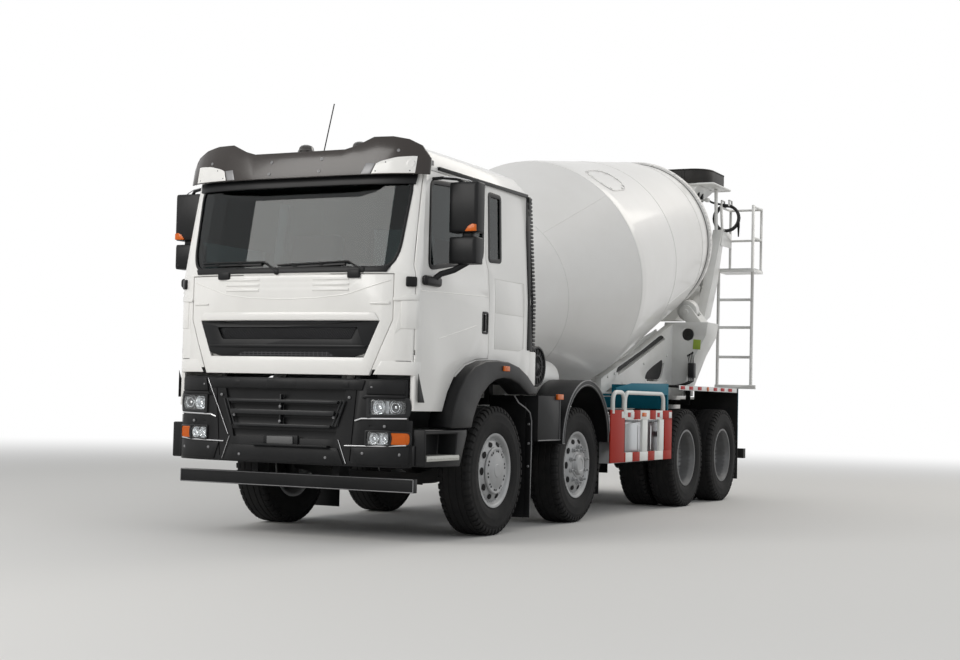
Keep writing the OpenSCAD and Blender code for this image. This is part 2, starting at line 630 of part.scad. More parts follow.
module cab_solid(inset) {
  intersection() {
    union() {
      intersection() { nose_prism(inset, 0, 2000); box([-2000, -2000, 900], [2000, 2000, belt_z]); }
      intersection() { nose_prism(inset, ramp, 2500); box([-2000, -2000, belt_z], [2000, 2000, 3400]); }
    }
    rotate([90, 0, 90]) linear_extrude(2 * cab_half + 200, center = true) offset(delta = -inset) cab_side();
    rotate([90, 0, 0]) linear_extrude(6000, center = true) offset(delta = -inset) cab_front();
  }
}
// door outline [y, z], grown by a gap
function door_sill() = [[-1397, 2150], [-1397, 1035], [-990, 1035], [-908, 1188], [-778, 1336], [-612, 1421],
  [-404, 1467], [-185, 1479]];
module door_area(grow) {
  offset(delta = grow) polygon(concat(door_sill(), [[-185, 2200], [-235, 2300], [-180, 2910], [-1245, 2910]]));
}
module screen_opening(grow) { offset(delta = grow) polygon(concat(screen_edge(1), [for (i = [2:-1:0]) screen_edge(-1)[i]])); }
function screen_edge(e) = [[e * (cab_half - 220), 2125], [e * (cab_half - 160), 2250], [e * (cab_half - 128), 2822]];
module door_window(grow) { offset(delta = grow) polygon([[-1245, 2160], [-1200, 2145], [-330, 2280], [-285, 2330], [-225, 2860], [-260, 2880], [-1140, 2830], [-1170, 2800]]); }
module slim_window(grow) { offset(delta = grow) polygon([[-165, 2295], [60, 2305], [95, 2860], [-130, 2865]]); }
module rear_window(grow) { offset(delta = grow) polygon([[-480, 2250], [480, 2250], [480, 2680], [-480, 2680]]); }
module flap_area(grow) { offset(delta = grow) polygon(concat(flap_edge(1), [for (i = [2:-1:0]) flap_edge(-1)[i]])); }
function flap_edge(e) = [[e * (cab_half - 190), 2075], [e * (cab_half - 190), 1730], [e * (cab_half - 365), 1300]];
module in_side() { rotate([90, 0, 90]) linear_extrude(3000, center = true) children(); }
module in_front(y0, y1) { translate([0, y1, 0]) rotate([90, 0, 0]) linear_extrude(y1 - y0) children(); }
flap_depth = 34;
jamb = cab_half - 80;
module cab_shell() {
  inner = cab_half - cab_wall;
  color("#eceae4") place() {
    difference() {
      union() {
        difference() {
          cab_solid(0);
          intersection() { cab_solid(cab_wall); box([-2000, -2000, floor_z], [2000, 2000, 4000]); }
          box([-inner, -1900, 900], [inner, 1900, cab_low]);
          box([-2000, -1900, 900], [2000, -770, cab_low]);
          box([-inner, -1470, 900], [inner, -770, floor_z - 40]);
        }
        box([-440, -820, cab_low], [440, cab_rear - 10, 1680]);
      }
      box([-400, -780, 1300], [400, cab_rear + 10, 1640]);
      in_front(-2000, -900) screen_opening(0);
      in_front(cab_rear - 100, cab_rear + 100) rear_window(0);
      in_side() slim_window(0);
      difference() { in_side() door_area(shut_gap); box([-jamb, -2000, 900], [jamb, 2000, 3400]); }
      flap_pocket();
      difference() { in_side() hatch_lines(); cab_solid(5); }
    }
    // tilt hinge under the floor
    both() difference() {
      side_plate(300, 350, [[tilt_y + 170, floor_z - 39], [tilt_y + 280, floor_z - 39], [tilt_y + 50, tilt_z - 20],
        [tilt_y, tilt_z - 50], [tilt_y - 45, tilt_z - 20], [tilt_y - 40, tilt_z + 20]]);
      translate([290, tilt_y, tilt_z]) rotate([0, 90, 0]) cylinder(h = 70, r = 25 + fit);
    }
    door_hinges();
    flap_hinges();
  }
}
// shut line round the locker behind the door, and across its middle
module hatch_lines() {
  line = 3;
  difference() { offset(delta = line) hatch_area(); offset(delta = -line) hatch_area(); }
  intersection() { hatch_area(); translate([-500, 1863 - line]) square([1500, 2 * line]); }
}
module hatch_area() { polygon([[-65, 2150], [520, 2150], [520, 1585], [430, 1560], [-65, 1560]]); }
module door_hinges() {
  both() for (z = hinge_z) {
    box([jamb - 10, hinge_y - 8, z - 12], [hinge_x, hinge_y + 8, z + 12]);
    translate([hinge_x, hinge_y, z - 12]) cylinder(h = 24, r = 8);
    translate([hinge_x, hinge_y, z - 30]) cylinder(h = 60, r = 6 - fit);
  }
}
module flap_hinges() {
  // hinge barrel in the shut line over the flap
  translate([-400, flap_pin[0], flap_pin[1]]) rotate([0, 90, 0]) cylinder(h = 800, r = shut_gap / 2 - fit);
  box([-400, flap_pin[0], flap_pin[1]], [400, flap_pin[0] + 12, flap_pin[1] + shut_gap / 2 + 1]);
}
module flap_pocket() {
  difference() {
    in_front(-1700, -1350) flap_area(shut_gap);
    nose_prism(flap_depth + shut_gap, 0, 2000);
  }
}
module cab_glass() {
  color([0.15, 0.17, 0.19, 0.5]) place() {
    intersection() { shell_band(6, 14); in_front(-2000, -900) screen_opening(0); }
    intersection() { shell_band(6, 14); in_side() slim_window(0); }
    intersection() { shell_band(6, 14); in_front(cab_rear - 100, cab_rear + 100) rear_window(0); }
  }
}
module shell_band(a, b) { difference() { cab_solid(a); cab_solid(b); } }
module door_panel(side) {
  // side 1 is the left door, -1 the right one
  color("#eceae4") place() mirror([side < 0 ? 1 : 0, 0, 0]) {
    difference() {
      intersection() { shell_band(3, 16); in_side() handle_area(10) square([26, 220], center = true); box([1000, -400, 1600], [1300, -100, 1900]); }
      cab_solid(16);
    }
    door_skin();
  }
}
module door_skin() {
  difference() {
    intersection() {
      difference() { cab_solid(0); cab_solid(cab_wall); }
      in_side() door_area(0);
      box([jamb + shut_gap, -2000, 900], [2000, 2000, 3400]);
    }
    in_side() door_window(0);
    difference() { in_side() handle_area(0) square([110, 180], center = true); cab_solid(24); }
    box([jamb, -1400, 900], [jamb + 15, -1340, 3000]);
    for (z = hinge_z) {
      box([jamb, -1400, z - 18], [hinge_x + 9, hinge_y + 14, z + 18]);
      translate([hinge_x, hinge_y, z - 31]) cylinder(h = 62, r = 6);
    }
  }
}
module handle_area(back) { translate([-250 + back, 1770]) children(); }
module door_pane(side) {
  color([0.15, 0.17, 0.19, 0.5]) place() intersection() {
    shell_band(10, 16);
    in_side() door_window(0);
    box([side > 0 ? 0 : -2000, -2000, 900], [side > 0 ? 2000 : 0, 2000, 3400]);
  }
}
module door_left() { door_panel(1); }
module door_right() { door_panel(-1); }
module door_glass_left() { door_pane(1); }
module door_glass_right() { door_pane(-1); }
module mirror_unit() {
  arm = cab_half + 210;
  color("#1b1c1f") place() {
    translate([arm, -1010, 0]) {
      translate([0, 0, 2330]) linear_extrude(500) offset(r = 40) square([150, 70], center = true);
      translate([0, 0, 2110]) linear_extrude(190) offset(r = 40) square([150, 70], center = true);
      translate([0, 0, 2280]) linear_extrude(70) square([100, 60], center = true);
    }
    rod([arm, -1010, 2120], [cab_half + 30, -1210, 2060], 24);
    difference() {
      box([cab_half - 20, -1330, 2020], [cab_half + 45, -1060, 2100]);
      cab_solid(0);
    }
    difference() {
      rod([arm, -1010, 2810], [cab_half - 80, -1140, 2850], 18);
      cab_solid(0);
    }
  }
}
module mirror_left() { mirror_unit(); }
module mirror_right() { mirror([1, 0, 0]) mirror_unit(); }
module sun_visor() {
  color("#2b2a2b") place() {
    difference() {
      intersection() {
        difference() { nose_prism(-visor_out, ramp, 2000); nose_prism(14 - visor_out, ramp, 2000); }
        in_front(-2000, -1262) visor_face();
      }
      cab_solid(0);
    }
    difference() {
      for (x = [40 - cab_half, -450, 430, cab_half - 65]) box([x, -1440, 2950], [x + 25, -1150, 2990]);
      cab_solid(0);
      difference() { translate([0, -400, 0]) nose_prism(600, ramp, 2000); nose_prism(14 - visor_out, ramp, 2000); }
      difference() { box([-2000, -2000, 2000], [2000, 0, 3400]); nose_prism(14 - visor_out, ramp, 2000); }
    }
  }
}
module visor_face() {
  polygon(concat([[2 - cab_half, 2860], [cab_half - 2, 2860]], visor_top(),
    [for (i = [len(visor_top()) - 1:-1:0]) [-visor_top()[i][0], visor_top()[i][1]]]));
}
function visor_top() = [for (p = [[2, 2990], [70, 3090], [170, 3140], [300, 3165], [460, 3165], [600, 3100], [700, 3072]]) [cab_half - p[0], p[1]]];
module cab_fittings() {
  duct = cab_half - 130;
  color("#1a1b1d") place() {
    for (x = [-480, 560]) {
      difference() { box([x - 30, -1575, 2088], [x + 30, -1440, 2120]); cab_solid(0); }
      bar([x, -1560, 2108], [x - 110, -1534, 2190], 16);
      bar([x - 106, -1534, 2189], [x - 560, -1556, 2172], 12);
    }
    for (x = [-260, 260]) difference() { translate([x, -900, 3150]) cylinder(h = 75, r = 70); cab_solid(0); }
    difference() { rod([0, -1050, 3100], [0, -900, 3550], 5); cab_solid(0); }
    // gutter over the door
    both() difference() {
      side_plate(cab_half - 90, cab_half - 38, [[-1050, 2930], [640, 2930], [640, 2955], [-1050, 2955]]);
      cab_solid(0);
    }
    // air duct up the rear corner
    for (z = [1690:60:2890]) box([duct, cab_rear, z], [duct + 90, cab_rear + 60, z + 40]);
    box([duct + 6, cab_rear, 1680], [duct + 84, cab_rear + 52, 2940]);
  }
}
module arch_flares() {
  color("#17181b") place() both() side_plate(cab_half - 120, cab_half + 95, concat(arch_out(),
    [[640, 1190]], [for (i = [10:-1:0]) arch_in()[i]]));
}
module cab_interior() {
  low = 1519.3; tunnel = 1680; dash = cab_half - 180; bunk = cab_half - 120;
  color("#3c3d40") place() {
    for (x = [-720, 720]) {
      box([x - 230, -560, low], [x + 230, -60, 1700]);
      box([x - 250, -600, 1700], [x + 250, -50, 1830]);
      translate([x, -60, 1810]) rotate([-10, 0, 0]) linear_extrude(760) offset(r = 40) square([400, 60], center = true);
    }
    box([-dash, -1300, 1900], [dash, -1000, 2060]);
    both() {
      box([dash - 40, -1300, floor_z], [dash, -1060, 1901]);
      box([441, 250, low], [bunk, 560, tunnel]);
    }
    box([-bunk, 250, tunnel], [bunk, 560, 1760]);
    rod([620, -1010, 1960], [620, -830, 2090], 35);
    translate([620, -815, 2100]) rotate([55, 0, 0]) {
      rotate_extrude() translate([215, 0]) circle(r = 16, $fn = 16);
      box([-215, -15, -8], [215, 15, 8]);
      cylinder(h = 30, r = 60, center = true);
    }
  }
}
module front_flap() {
  color("#eceae4") place() difference() {
    intersection() {
      difference() { nose_prism(0, 0, 2000); nose_prism(flap_depth, 0, 2000); }
      in_front(-1700, -1300) flap_area(0);
    }
    grille_opening();
  }
  // louvre ridges
  color("#eceae4") place() intersection() {
    difference() { nose_prism(-8, 0, 2000); nose_prism(6, 0, 2000); }
    both() for (z = [1950, 1992, 2034]) in_front(-1700, -1300) polygon([[250, z], [570, z], [570, z + 18], [250, z + 18]]);
  }
}
module grille_opening() {
  top = cab_half - 288; low = cab_half - 409;
  in_front(-1700, -1300) polygon([[-top, 1719], [top, 1719], [low, 1435], [-low, 1435]]);
}
module front_grille() {
  color("#1a1b1d") place() intersection() {
    union() {
      difference() { nose_prism(12, 0, 2000); nose_prism(flap_depth - 6, 0, 2000); }
      for (z = [1480:60:1700]) intersection() {
        difference() { nose_prism(4, 0, 2000); nose_prism(14, 0, 2000); }
        box([-2000, -2000, z], [2000, 0, z + 16]);
      }
    }
    grille_opening();
  }
}
// steering knuckle: two lugs and a pin about the beam's eye, a plate, a brake and the wheel's spindle
module knuckle(axle) {
  plate = 60;
  color("#303236") place() translate([king_x, axle_y[axle], tyre_r]) {
    translate([0, 0, -100]) cylinder(h = 200, r = king_r);
    for (z = [-100, 60 + fit]) {
      translate([0, 0, z]) cylinder(h = 40 - fit, r = 56);
      box([0, -50, z], [plate + 10, 50, z + 40 - fit]);
    }
    box([plate, -56, -100], [plate + 24, 56, 100]);
    translate([plate + 20, 0, 0]) rotate([0, 90, 0]) cylinder(h = 38, r = 205);
    translate([plate + 20, 0, 0]) rotate([0, 90, 0]) cylinder(h = steer_mid + 90 - king_x - plate - 20, r = spindle_r - fit);
  }
}
module knuckle_1_left() { knuckle(0); }
module knuckle_1_right() { mirror([1, 0, 0]) knuckle(0); }
module knuckle_2_left() { knuckle(1); }
module knuckle_2_right() { mirror([1, 0, 0]) knuckle(1); }
// [distance from the tyre's middle, radius] round a tyre
function tyre_line() = let (h = tyre_w / 2, r = tyre_r) [[-h * 0.78, 290.3], [-h * 0.8, 312], [-h * 0.88, 330], [-h, r * 0.76], [-h * 0.97, r * 0.9],
  [-h * 0.86, r * 0.975], [-h * 0.6, r], [h * 0.6, r], [h * 0.86, r * 0.975], [h * 0.97, r * 0.9], [h, r * 0.76],
  [h * 0.88, 330], [h * 0.8, 312], [h * 0.78, 290.3]];
module tyre_at(x) {
  translate([x, 0, tyre_r]) rotate([0, 90, 0]) rotate_extrude($fn = 72) polygon([for (p = tyre_line()) [p[1], p[0]]]);
}
module rim_at(x, out) {
  // out is 1 for a disc near the outer face, -1 for one set deep inside
  h = tyre_w * 0.43; bolt_r = 224; bead = 292;
  translate([x, 0, tyre_r]) rotate([0, 90, 0]) difference() {
    rotate_extrude($fn = 72) polygon(out > 0
      ? [[bead, -h], [312, -h], [312, -h + 6], [bead - 2, -h + 10], [bead - 2, h - 10], [312, h - 6], [312, h],
         [bead, h], [268, h - 40], [240, h - 20], [180, h + 2], [100, h + 2], [100, h - 18],
         [178, h - 18], [235, h - 42], [262, h - 70], [276, h - 90], [276, -h + 20]]
      : [[bead, -h], [312, -h], [312, -h + 6], [bead - 2, -h + 10], [bead - 2, h - 10], [312, h - 6], [312, h],
         [bead, h], [272, h - 60], [262, -h + 90], [235, -h + 62], [100, -h + 50], [100, -h + 30], [235, -h + 30],
         [276, -h + 40]]);
    for (a = [0:36:324]) rotate([0, 0, a + 18]) translate([bolt_r, 0, -300]) cylinder(h = 600, r = 20, $fn = 24);
  }
}
module steer_rim(axle) {
  h = tyre_w * 0.43;
  color("#b9babb") place() translate([0, axle_y[axle], 0]) {
    rim_at(steer_mid, 1);
    // hub, bored for the spindle
    translate([steer_mid, 0, tyre_r]) rotate([0, 90, 0]) difference() {
      translate([0, 0, 10]) cylinder(h = h - 8, r = 110);
      translate([0, 0, 9]) cylinder(h = 81 + fit, r = spindle_r);
    }
  }
}
module rim_1_left() { steer_rim(0); }
module rim_1_right() { mirror([1, 0, 0]) steer_rim(0); }
module rim_2_left() { steer_rim(1); }
module rim_2_right() { mirror([1, 0, 0]) steer_rim(1); }
module steer_tyre(axle) { color("#1c1c1d") place() translate([0, axle_y[axle], 0]) tyre_at(steer_mid); }
module tyre_1_left() { steer_tyre(0); }
module tyre_1_right() { mirror([1, 0, 0]) steer_tyre(0); }
module tyre_2_left() { steer_tyre(1); }
module tyre_2_right() { mirror([1, 0, 0]) steer_tyre(1); }
module twin_rims(axle) {
  color("#9c9d9e") place() translate([0, axle_y[axle], 0]) {
    rim_at(twin_out, -1);
    translate([2 * twin_in, 0, 0]) mirror([1, 0, 0]) rim_at(twin_in, -1);
    translate([twin_mid - 150, 0, tyre_r]) rotate([0, 90, 0]) difference() {
      cylinder(h = 300, r = 130);
      translate([0, 0, -1]) cylinder(h = 251, r = hub_bore);
    }
  }
}
module rims_3_left() { twin_rims(2); }
module rims_3_right() { mirror([1, 0, 0]) twin_rims(2); }
module rims_4_left() { twin_rims(3); }
module rims_4_right() { mirror([1, 0, 0]) twin_rims(3); }
module twin_tyres(axle) { color("#1c1c1d") place() translate([0, axle_y[axle], 0]) { tyre_at(twin_out); tyre_at(twin_in); } }
module tyres_3_left() { twin_tyres(2); }
module tyres_3_right() { mirror([1, 0, 0]) twin_tyres(2); }
module tyres_4_left() { twin_tyres(3); }
module tyres_4_right() { mirror([1, 0, 0]) twin_tyres(3); }

chassis_frame();
engine_block();
steer_axles();
drive_axles();
bumper();
front_lamps();
step_boxes();
fenders();
side_tanks();
side_guards();
side_panels();
subframe();
rear_deck();
drum_gearbox();
rear_pedestal();
charge_hopper();
hopper_guard();
discharge_funnel();
ladder();
water_tank();
air_intake();
wash_hose();
hose_coil();
cab_shell();
cab_glass();
sun_visor();
cab_fittings();
arch_flares();
cab_interior();
front_flap();
front_grille();
door_left();
door_glass_left();
mirror_left();
door_right();
door_glass_right();
mirror_right();
drum();
chute_turret();
chute();
knuckle_1_left();
knuckle_1_right();
knuckle_2_left();
knuckle_2_right();
rim_1_left();
rim_1_right();
rim_2_left();
rim_2_right();
rims_3_left();
rims_3_right();
rims_4_left();
rims_4_right();
tyre_1_left();
tyre_1_right();
tyre_2_left();
tyre_2_right();
tyres_3_left();
tyres_3_right();
tyres_4_left();
tyres_4_right();
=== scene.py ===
import json
from math import cos, pi, radians, sin, tan

import bpy
from mathutils import Matrix, Vector

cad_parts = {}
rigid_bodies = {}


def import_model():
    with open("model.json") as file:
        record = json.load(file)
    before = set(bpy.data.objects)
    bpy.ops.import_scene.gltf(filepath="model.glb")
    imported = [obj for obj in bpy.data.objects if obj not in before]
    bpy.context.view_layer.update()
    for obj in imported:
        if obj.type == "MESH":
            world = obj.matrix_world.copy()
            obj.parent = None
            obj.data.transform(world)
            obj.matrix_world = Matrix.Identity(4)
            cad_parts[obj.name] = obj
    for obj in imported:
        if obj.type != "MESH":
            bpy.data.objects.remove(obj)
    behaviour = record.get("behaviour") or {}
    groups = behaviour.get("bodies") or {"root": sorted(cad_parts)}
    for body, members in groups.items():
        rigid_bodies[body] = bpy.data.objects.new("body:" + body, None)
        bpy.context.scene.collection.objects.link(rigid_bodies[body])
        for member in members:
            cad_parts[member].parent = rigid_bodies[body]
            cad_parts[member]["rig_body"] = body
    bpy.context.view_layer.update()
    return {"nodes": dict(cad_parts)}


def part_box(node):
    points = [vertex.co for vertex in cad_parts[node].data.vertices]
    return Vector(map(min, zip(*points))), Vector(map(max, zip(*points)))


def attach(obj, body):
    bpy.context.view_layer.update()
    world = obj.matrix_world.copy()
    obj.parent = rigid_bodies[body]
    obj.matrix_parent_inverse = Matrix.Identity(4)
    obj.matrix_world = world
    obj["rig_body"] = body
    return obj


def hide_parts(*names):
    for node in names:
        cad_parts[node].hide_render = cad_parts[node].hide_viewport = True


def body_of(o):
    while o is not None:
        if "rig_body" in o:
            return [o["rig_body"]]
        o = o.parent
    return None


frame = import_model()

# the front axle's place along Y, from which the lengths below are counted
AXLE_Y = (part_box("tyre_1_left")[0][1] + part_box("tyre_1_left")[1][1]) / 2
TYRE_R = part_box("tyre_1_left")[1][2] / 2
AXLES = [0.0]
for tyre in ("tyre_2_left", "tyres_3_left", "tyres_4_left"):
    AXLES.append((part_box(tyre)[0][1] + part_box(tyre)[1][1]) / 2 - AXLE_Y)


# ---------------------------------------------------------------- camera, floor and light
def make_camera():
    azimuth, elevation, roll = radians(26.073), radians(-2.589), radians(1.357)
    back = Vector((sin(azimuth) * cos(elevation), -cos(azimuth) * cos(elevation), sin(elevation)))
    right = Vector((cos(azimuth), sin(azimuth), 0))
    up = back.cross(right)
    turned_right = right * cos(roll) + up * sin(roll)
    turned_up = up * cos(roll) - right * sin(roll)
    bpy.ops.object.camera_add()
    camera = bpy.context.object
    camera.data.lens = 57.76
    camera.data.clip_end = 200
    axes = Matrix((turned_right, turned_up, back)).transposed().to_4x4()
    camera.matrix_world = Matrix.Translation((6.686, AXLE_Y - 11.72, 1.134)) @ axes
    bpy.context.scene.camera = camera


def seen_directly(tree):
    """one for rays of the camera and those that mirror or pass through, nought for all others"""
    path = tree.nodes.new("ShaderNodeLightPath")
    total = path.outputs["Is Camera Ray"]
    for kind in ("Is Glossy Ray", "Is Transmission Ray"):
        most = tree.nodes.new("ShaderNodeMath")
        most.operation = "MAXIMUM"
        tree.links.new(total, most.inputs[0])
        tree.links.new(path.outputs[kind], most.inputs[1])
        total = most.outputs[0]
    return total


# how far from the middle the floor starts and ends to turn white
FLOOR_NEAR, FLOOR_FAR = 7.5, 24


def floor_finish():
    """pale floor that runs out into the white background"""
    mat = bpy.data.materials.new("studio_floor")
    mat.use_nodes = True
    tree = mat.node_tree
    shader = tree.nodes["Principled BSDF"]
    shader.inputs["Base Color"].default_value = (0.70, 0.69, 0.67, 1)
    shader.inputs["Roughness"].default_value = 0.8
    where = tree.nodes.new("ShaderNodeTexCoord")
    away = tree.nodes.new("ShaderNodeVectorMath")
    away.operation = "LENGTH"
    tree.links.new(where.outputs["Object"], away.inputs[0])
    fade = tree.nodes.new("ShaderNodeMapRange")
    fade.interpolation_type = "SMOOTHSTEP"
    fade.inputs["From Min"].default_value = FLOOR_NEAR
    fade.inputs["From Max"].default_value = FLOOR_FAR
    tree.links.new(away.outputs["Value"], fade.inputs["Value"])
    amount = tree.nodes.new("ShaderNodeMath")
    amount.operation = "MULTIPLY"
    tree.links.new(fade.outputs[0], amount.inputs[0])
    tree.links.new(seen_directly(tree), amount.inputs[1])
    white = tree.nodes.new("ShaderNodeEmission")
    mix = tree.nodes.new("ShaderNodeMixShader")
    tree.links.new(amount.outputs[0], mix.inputs["Fac"])
    tree.links.new(shader.outputs[0], mix.inputs[1])
    tree.links.new(white.outputs[0], mix.inputs[2])
    tree.links.new(mix.outputs[0], tree.nodes["Material Output"].inputs["Surface"])
    return mat


def make_studio():
    scene = bpy.context.scene
    scene.view_settings.view_transform = "Standard"
    bpy.ops.mesh.primitive_plane_add(size=160, location=(0, 0, 0))
    floor = bpy.context.object
    floor.name = "studio_floor"
    floor.data.materials.append(floor_finish())
    world = bpy.data.worlds.new("studio")
    scene.world = world
    world.use_nodes = True
    tree = world.node_tree
    seen = tree.nodes["Background"]
    seen.inputs["Color"].default_value = (1, 1, 1, 1)
    lit = tree.nodes.new("ShaderNodeBackground")
    lit.inputs["Color"].default_value = (0.94, 0.97, 1, 1)
    lit.inputs["Strength"].default_value = 0.46
    mix = tree.nodes.new("ShaderNodeMixShader")
    tree.links.new(seen_directly(tree), mix.inputs["Fac"])
    tree.links.new(lit.outputs[0], mix.inputs[1])
    tree.links.new(seen.outputs[0], mix.inputs[2])
    tree.links.new(mix.outputs[0], tree.nodes["World Output"].inputs["Surface"])

    # [place, size, watts, colour]
    lamps = [((-5, -15, 8), 7, 950, (1, 0.98, 0.95)), ((13, -5, 8), 7, 210, (0.96, 0.98, 1)),
             ((5, 9, 11), 8, 560, (1, 0.95, 0.88))]
    for place, size, watts, colour in lamps:
        bpy.ops.object.light_add(type="AREA", location=place)
        lamp = bpy.context.object
        lamp.data.size = size
        lamp.data.energy = watts
        lamp.data.color = colour
        lamp.rotation_euler = (Vector((0, -1, 1.6)) - Vector(place)).to_track_quat("-Z", "Y").to_euler()


# ---------------------------------------------------------------- finishes
def finish_of(name, colour, roughness, metallic=0.0, coat=0.0, grain=0.0, grain_size=0.01, stain=0.0,
              stain_colour=None, stain_size=0.6, glass=0.0, ior=1.45):
    """one finish: base colour with a soft stain, and a fine grain in the bump"""
    mat = bpy.data.materials.new(name)
    mat.use_nodes = True
    tree = mat.node_tree
    shader = tree.nodes["Principled BSDF"]
    shader.inputs["Base Color"].default_value = (*colour, 1)
    shader.inputs["Roughness"].default_value = roughness
    shader.inputs["Metallic"].default_value = metallic
    shader.inputs["Coat Weight"].default_value = coat
    shader.inputs["Coat Roughness"].default_value = 0.08
    shader.inputs["Transmission Weight"].default_value = glass
    shader.inputs["IOR"].default_value = ior
    where = tree.nodes.new("ShaderNodeTexCoord")
    if grain:
        noise = tree.nodes.new("ShaderNodeTexNoise")
        noise.inputs["Scale"].default_value = 1 / grain_size
        noise.inputs["Detail"].default_value = 3
        tree.links.new(where.outputs["Object"], noise.inputs["Vector"])
        bump = tree.nodes.new("ShaderNodeBump")
        bump.inputs["Strength"].default_value = grain
        bump.inputs["Distance"].default_value = grain_size * 0.1
        tree.links.new(noise.outputs["Fac"], bump.inputs["Height"])
        tree.links.new(bump.outputs[0], shader.inputs["Normal"])
    if stain:
        cloud = tree.nodes.new("ShaderNodeTexNoise")
        cloud.inputs["Scale"].default_value = 1 / stain_size
        cloud.inputs["Detail"].default_value = 8
        cloud.inputs["Roughness"].default_value = 0.65
        tree.links.new(where.outputs["Object"], cloud.inputs["Vector"])
        ramp = tree.nodes.new("ShaderNodeValToRGB")
        ramp.color_ramp.elements[0].position = 0.42
        ramp.color_ramp.elements[1].position = 0.72
        ramp.color_ramp.elements[0].color = (*colour, 1)
        dirty = stain_colour or tuple(c * 0.55 for c in colour)
        blend = tuple(c + (d - c) * stain for c, d in zip(colour, dirty))
        ramp.color_ramp.elements[1].color = (*blend, 1)
        tree.links.new(cloud.outputs["Fac"], ramp.inputs["Fac"])
        tree.links.new(ramp.outputs["Color"], shader.inputs["Base Color"])
    return mat


CAB_WHITE = finish_of("cab_white_paint", (0.80, 0.79, 0.765), 0.32, coat=0.3, grain=0.05,
                      grain_size=0.004, stain=0.08)
DRUM_WHITE = finish_of("drum_white_paint", (0.78, 0.77, 0.75), 0.38, coat=0.25, grain=0.08, grain_size=0.02,
                       stain=0.16, stain_colour=(0.55, 0.52, 0.47), stain_size=0.9)
FRAME_WHITE = finish_of("frame_white_paint", (0.76, 0.76, 0.74), 0.4, coat=0.2, grain=0.08, grain_size=0.01,
                        stain=0.2, stain_colour=(0.5, 0.48, 0.44), stain_size=0.35)
BLACK_PLASTIC = finish_of("black_moulding", (0.0090, 0.0092, 0.0098), 0.38, ior=1.27, grain=0.35,
                          grain_size=0.0025, stain=0.25, stain_colour=(0.03, 0.03, 0.031), stain_size=0.4)
VISOR_BLACK = finish_of("visor_black", (0.030, 0.024, 0.021), 0.2, ior=1.38, coat=0.15, grain=0.03,
                        grain_size=0.01, stain=0.2)
CHASSIS_BLACK = finish_of("chassis_paint", (0.011, 0.0115, 0.012), 0.55, ior=1.3, grain=0.2, grain_size=0.01,
                          stain=0.35, stain_colour=(0.045, 0.04, 0.035), stain_size=0.25)
RUBBER = finish_of("tyre_rubber", (0.0105, 0.0105, 0.011), 0.8, ior=1.3, grain=0.4, grain_size=0.004,
                   stain=0.3, stain_colour=(0.035, 0.033, 0.03), stain_size=0.12)
HOSE_RUBBER = finish_of("hose_rubber", (0.010, 0.010, 0.011), 0.5, grain=0.3, grain_size=0.003)
GUARD_RUBBER = finish_of("guard_rubber", (0.018, 0.017, 0.016), 0.5, ior=1.3, grain=0.25, grain_size=0.006,
                         stain=0.35, stain_colour=(0.07, 0.064, 0.055), stain_size=0.25)
RIM_SILVER = finish_of("rim_silver", (0.36, 0.365, 0.37), 0.46, metallic=0.35, grain=0.1, grain_size=0.006,
                       stain=0.25, stain_colour=(0.2, 0.19, 0.175), stain_size=0.15)
TANK_ALLOY = finish_of("tank_alloy", (0.62, 0.64, 0.66), 0.3, metallic=0.9, grain=0.12, grain_size=0.01)
CHROME = finish_of("bright_metal", (0.85, 0.86, 0.87), 0.12, metallic=1.0)
TEAL = finish_of("teal_paint", (0.005, 0.130, 0.190), 0.5, ior=1.22, grain=0.05, grain_size=0.01, stain=0.15)
RED = finish_of("guard_red_paint", (0.36, 0.022, 0.012), 0.5, ior=1.22, grain=0.05,
                grain_size=0.01, stain=0.15)
DECK_GREY = finish_of("deck_grey", (0.46, 0.47, 0.48), 0.45, metallic=0.3, grain=0.1,
                      grain_size=0.01, stain=0.2)
CAST = finish_of("cast_grey", (0.10, 0.105, 0.11), 0.55, grain=0.4, grain_size=0.012, stain=0.3)
GLASS = finish_of("tinted_glass", (0.085, 0.118, 0.12), 0.02, glass=1.0, ior=1.35)
LAMP_GLASS = finish_of("lamp_glass", (0.92, 0.94, 0.95), 0.03, glass=0.95, ior=1.35)
SEAT_CLOTH = finish_of("seat_cloth", (0.06, 0.062, 0.07), 0.9, grain=0.6, grain_size=0.003, stain=0.2)
RIM_GREY = finish_of("rim_grey", (0.17, 0.172, 0.175), 0.5, metallic=0.3, grain=0.15, grain_size=0.006,
                     stain=0.4, stain_colour=(0.08, 0.077, 0.07), stain_size=0.12)
TRIM_GREY = finish_of("trim_grey", (0.20, 0.20, 0.205), 0.4, metallic=0.3, grain=0.1, grain_size=0.004)
TRIM_BRIGHT = finish_of("trim_bright", (0.62, 0.62, 0.63), 0.22, metallic=0.9, grain=0.05, grain_size=0.004)
TREAD_SILVER = finish_of("tread_silver", (0.48, 0.48, 0.45), 0.4, metallic=0.6, grain=0.3,
                         grain_size=0.004, stain=0.3)
SLAT_GREY = finish_of("slat_grey", (0.015, 0.0155, 0.0165), 0.34, ior=1.35, grain=0.1,
                      grain_size=0.004, stain=0.2)
GRILLE_BLACK = finish_of("grille_black", (0.007, 0.0073, 0.008), 0.36, ior=1.3, grain=0.1, grain_size=0.004)
WIRE_GREY = finish_of("wire_grey", (0.06, 0.06, 0.065), 0.45, metallic=0.4, grain=0.1, grain_size=0.004)
LAMP_SILVER = finish_of("lamp_silver", (0.45, 0.46, 0.47), 0.25, metallic=0.9, grain=0.1, grain_size=0.01)
AMBER = finish_of("amber_lens", (0.62, 0.125, 0.008), 0.2, ior=1.35, grain=0.15, grain_size=0.006)
TAIL_RED = finish_of("red_lens", (0.45, 0.012, 0.01), 0.12, coat=0.5, grain=0.15, grain_size=0.006)
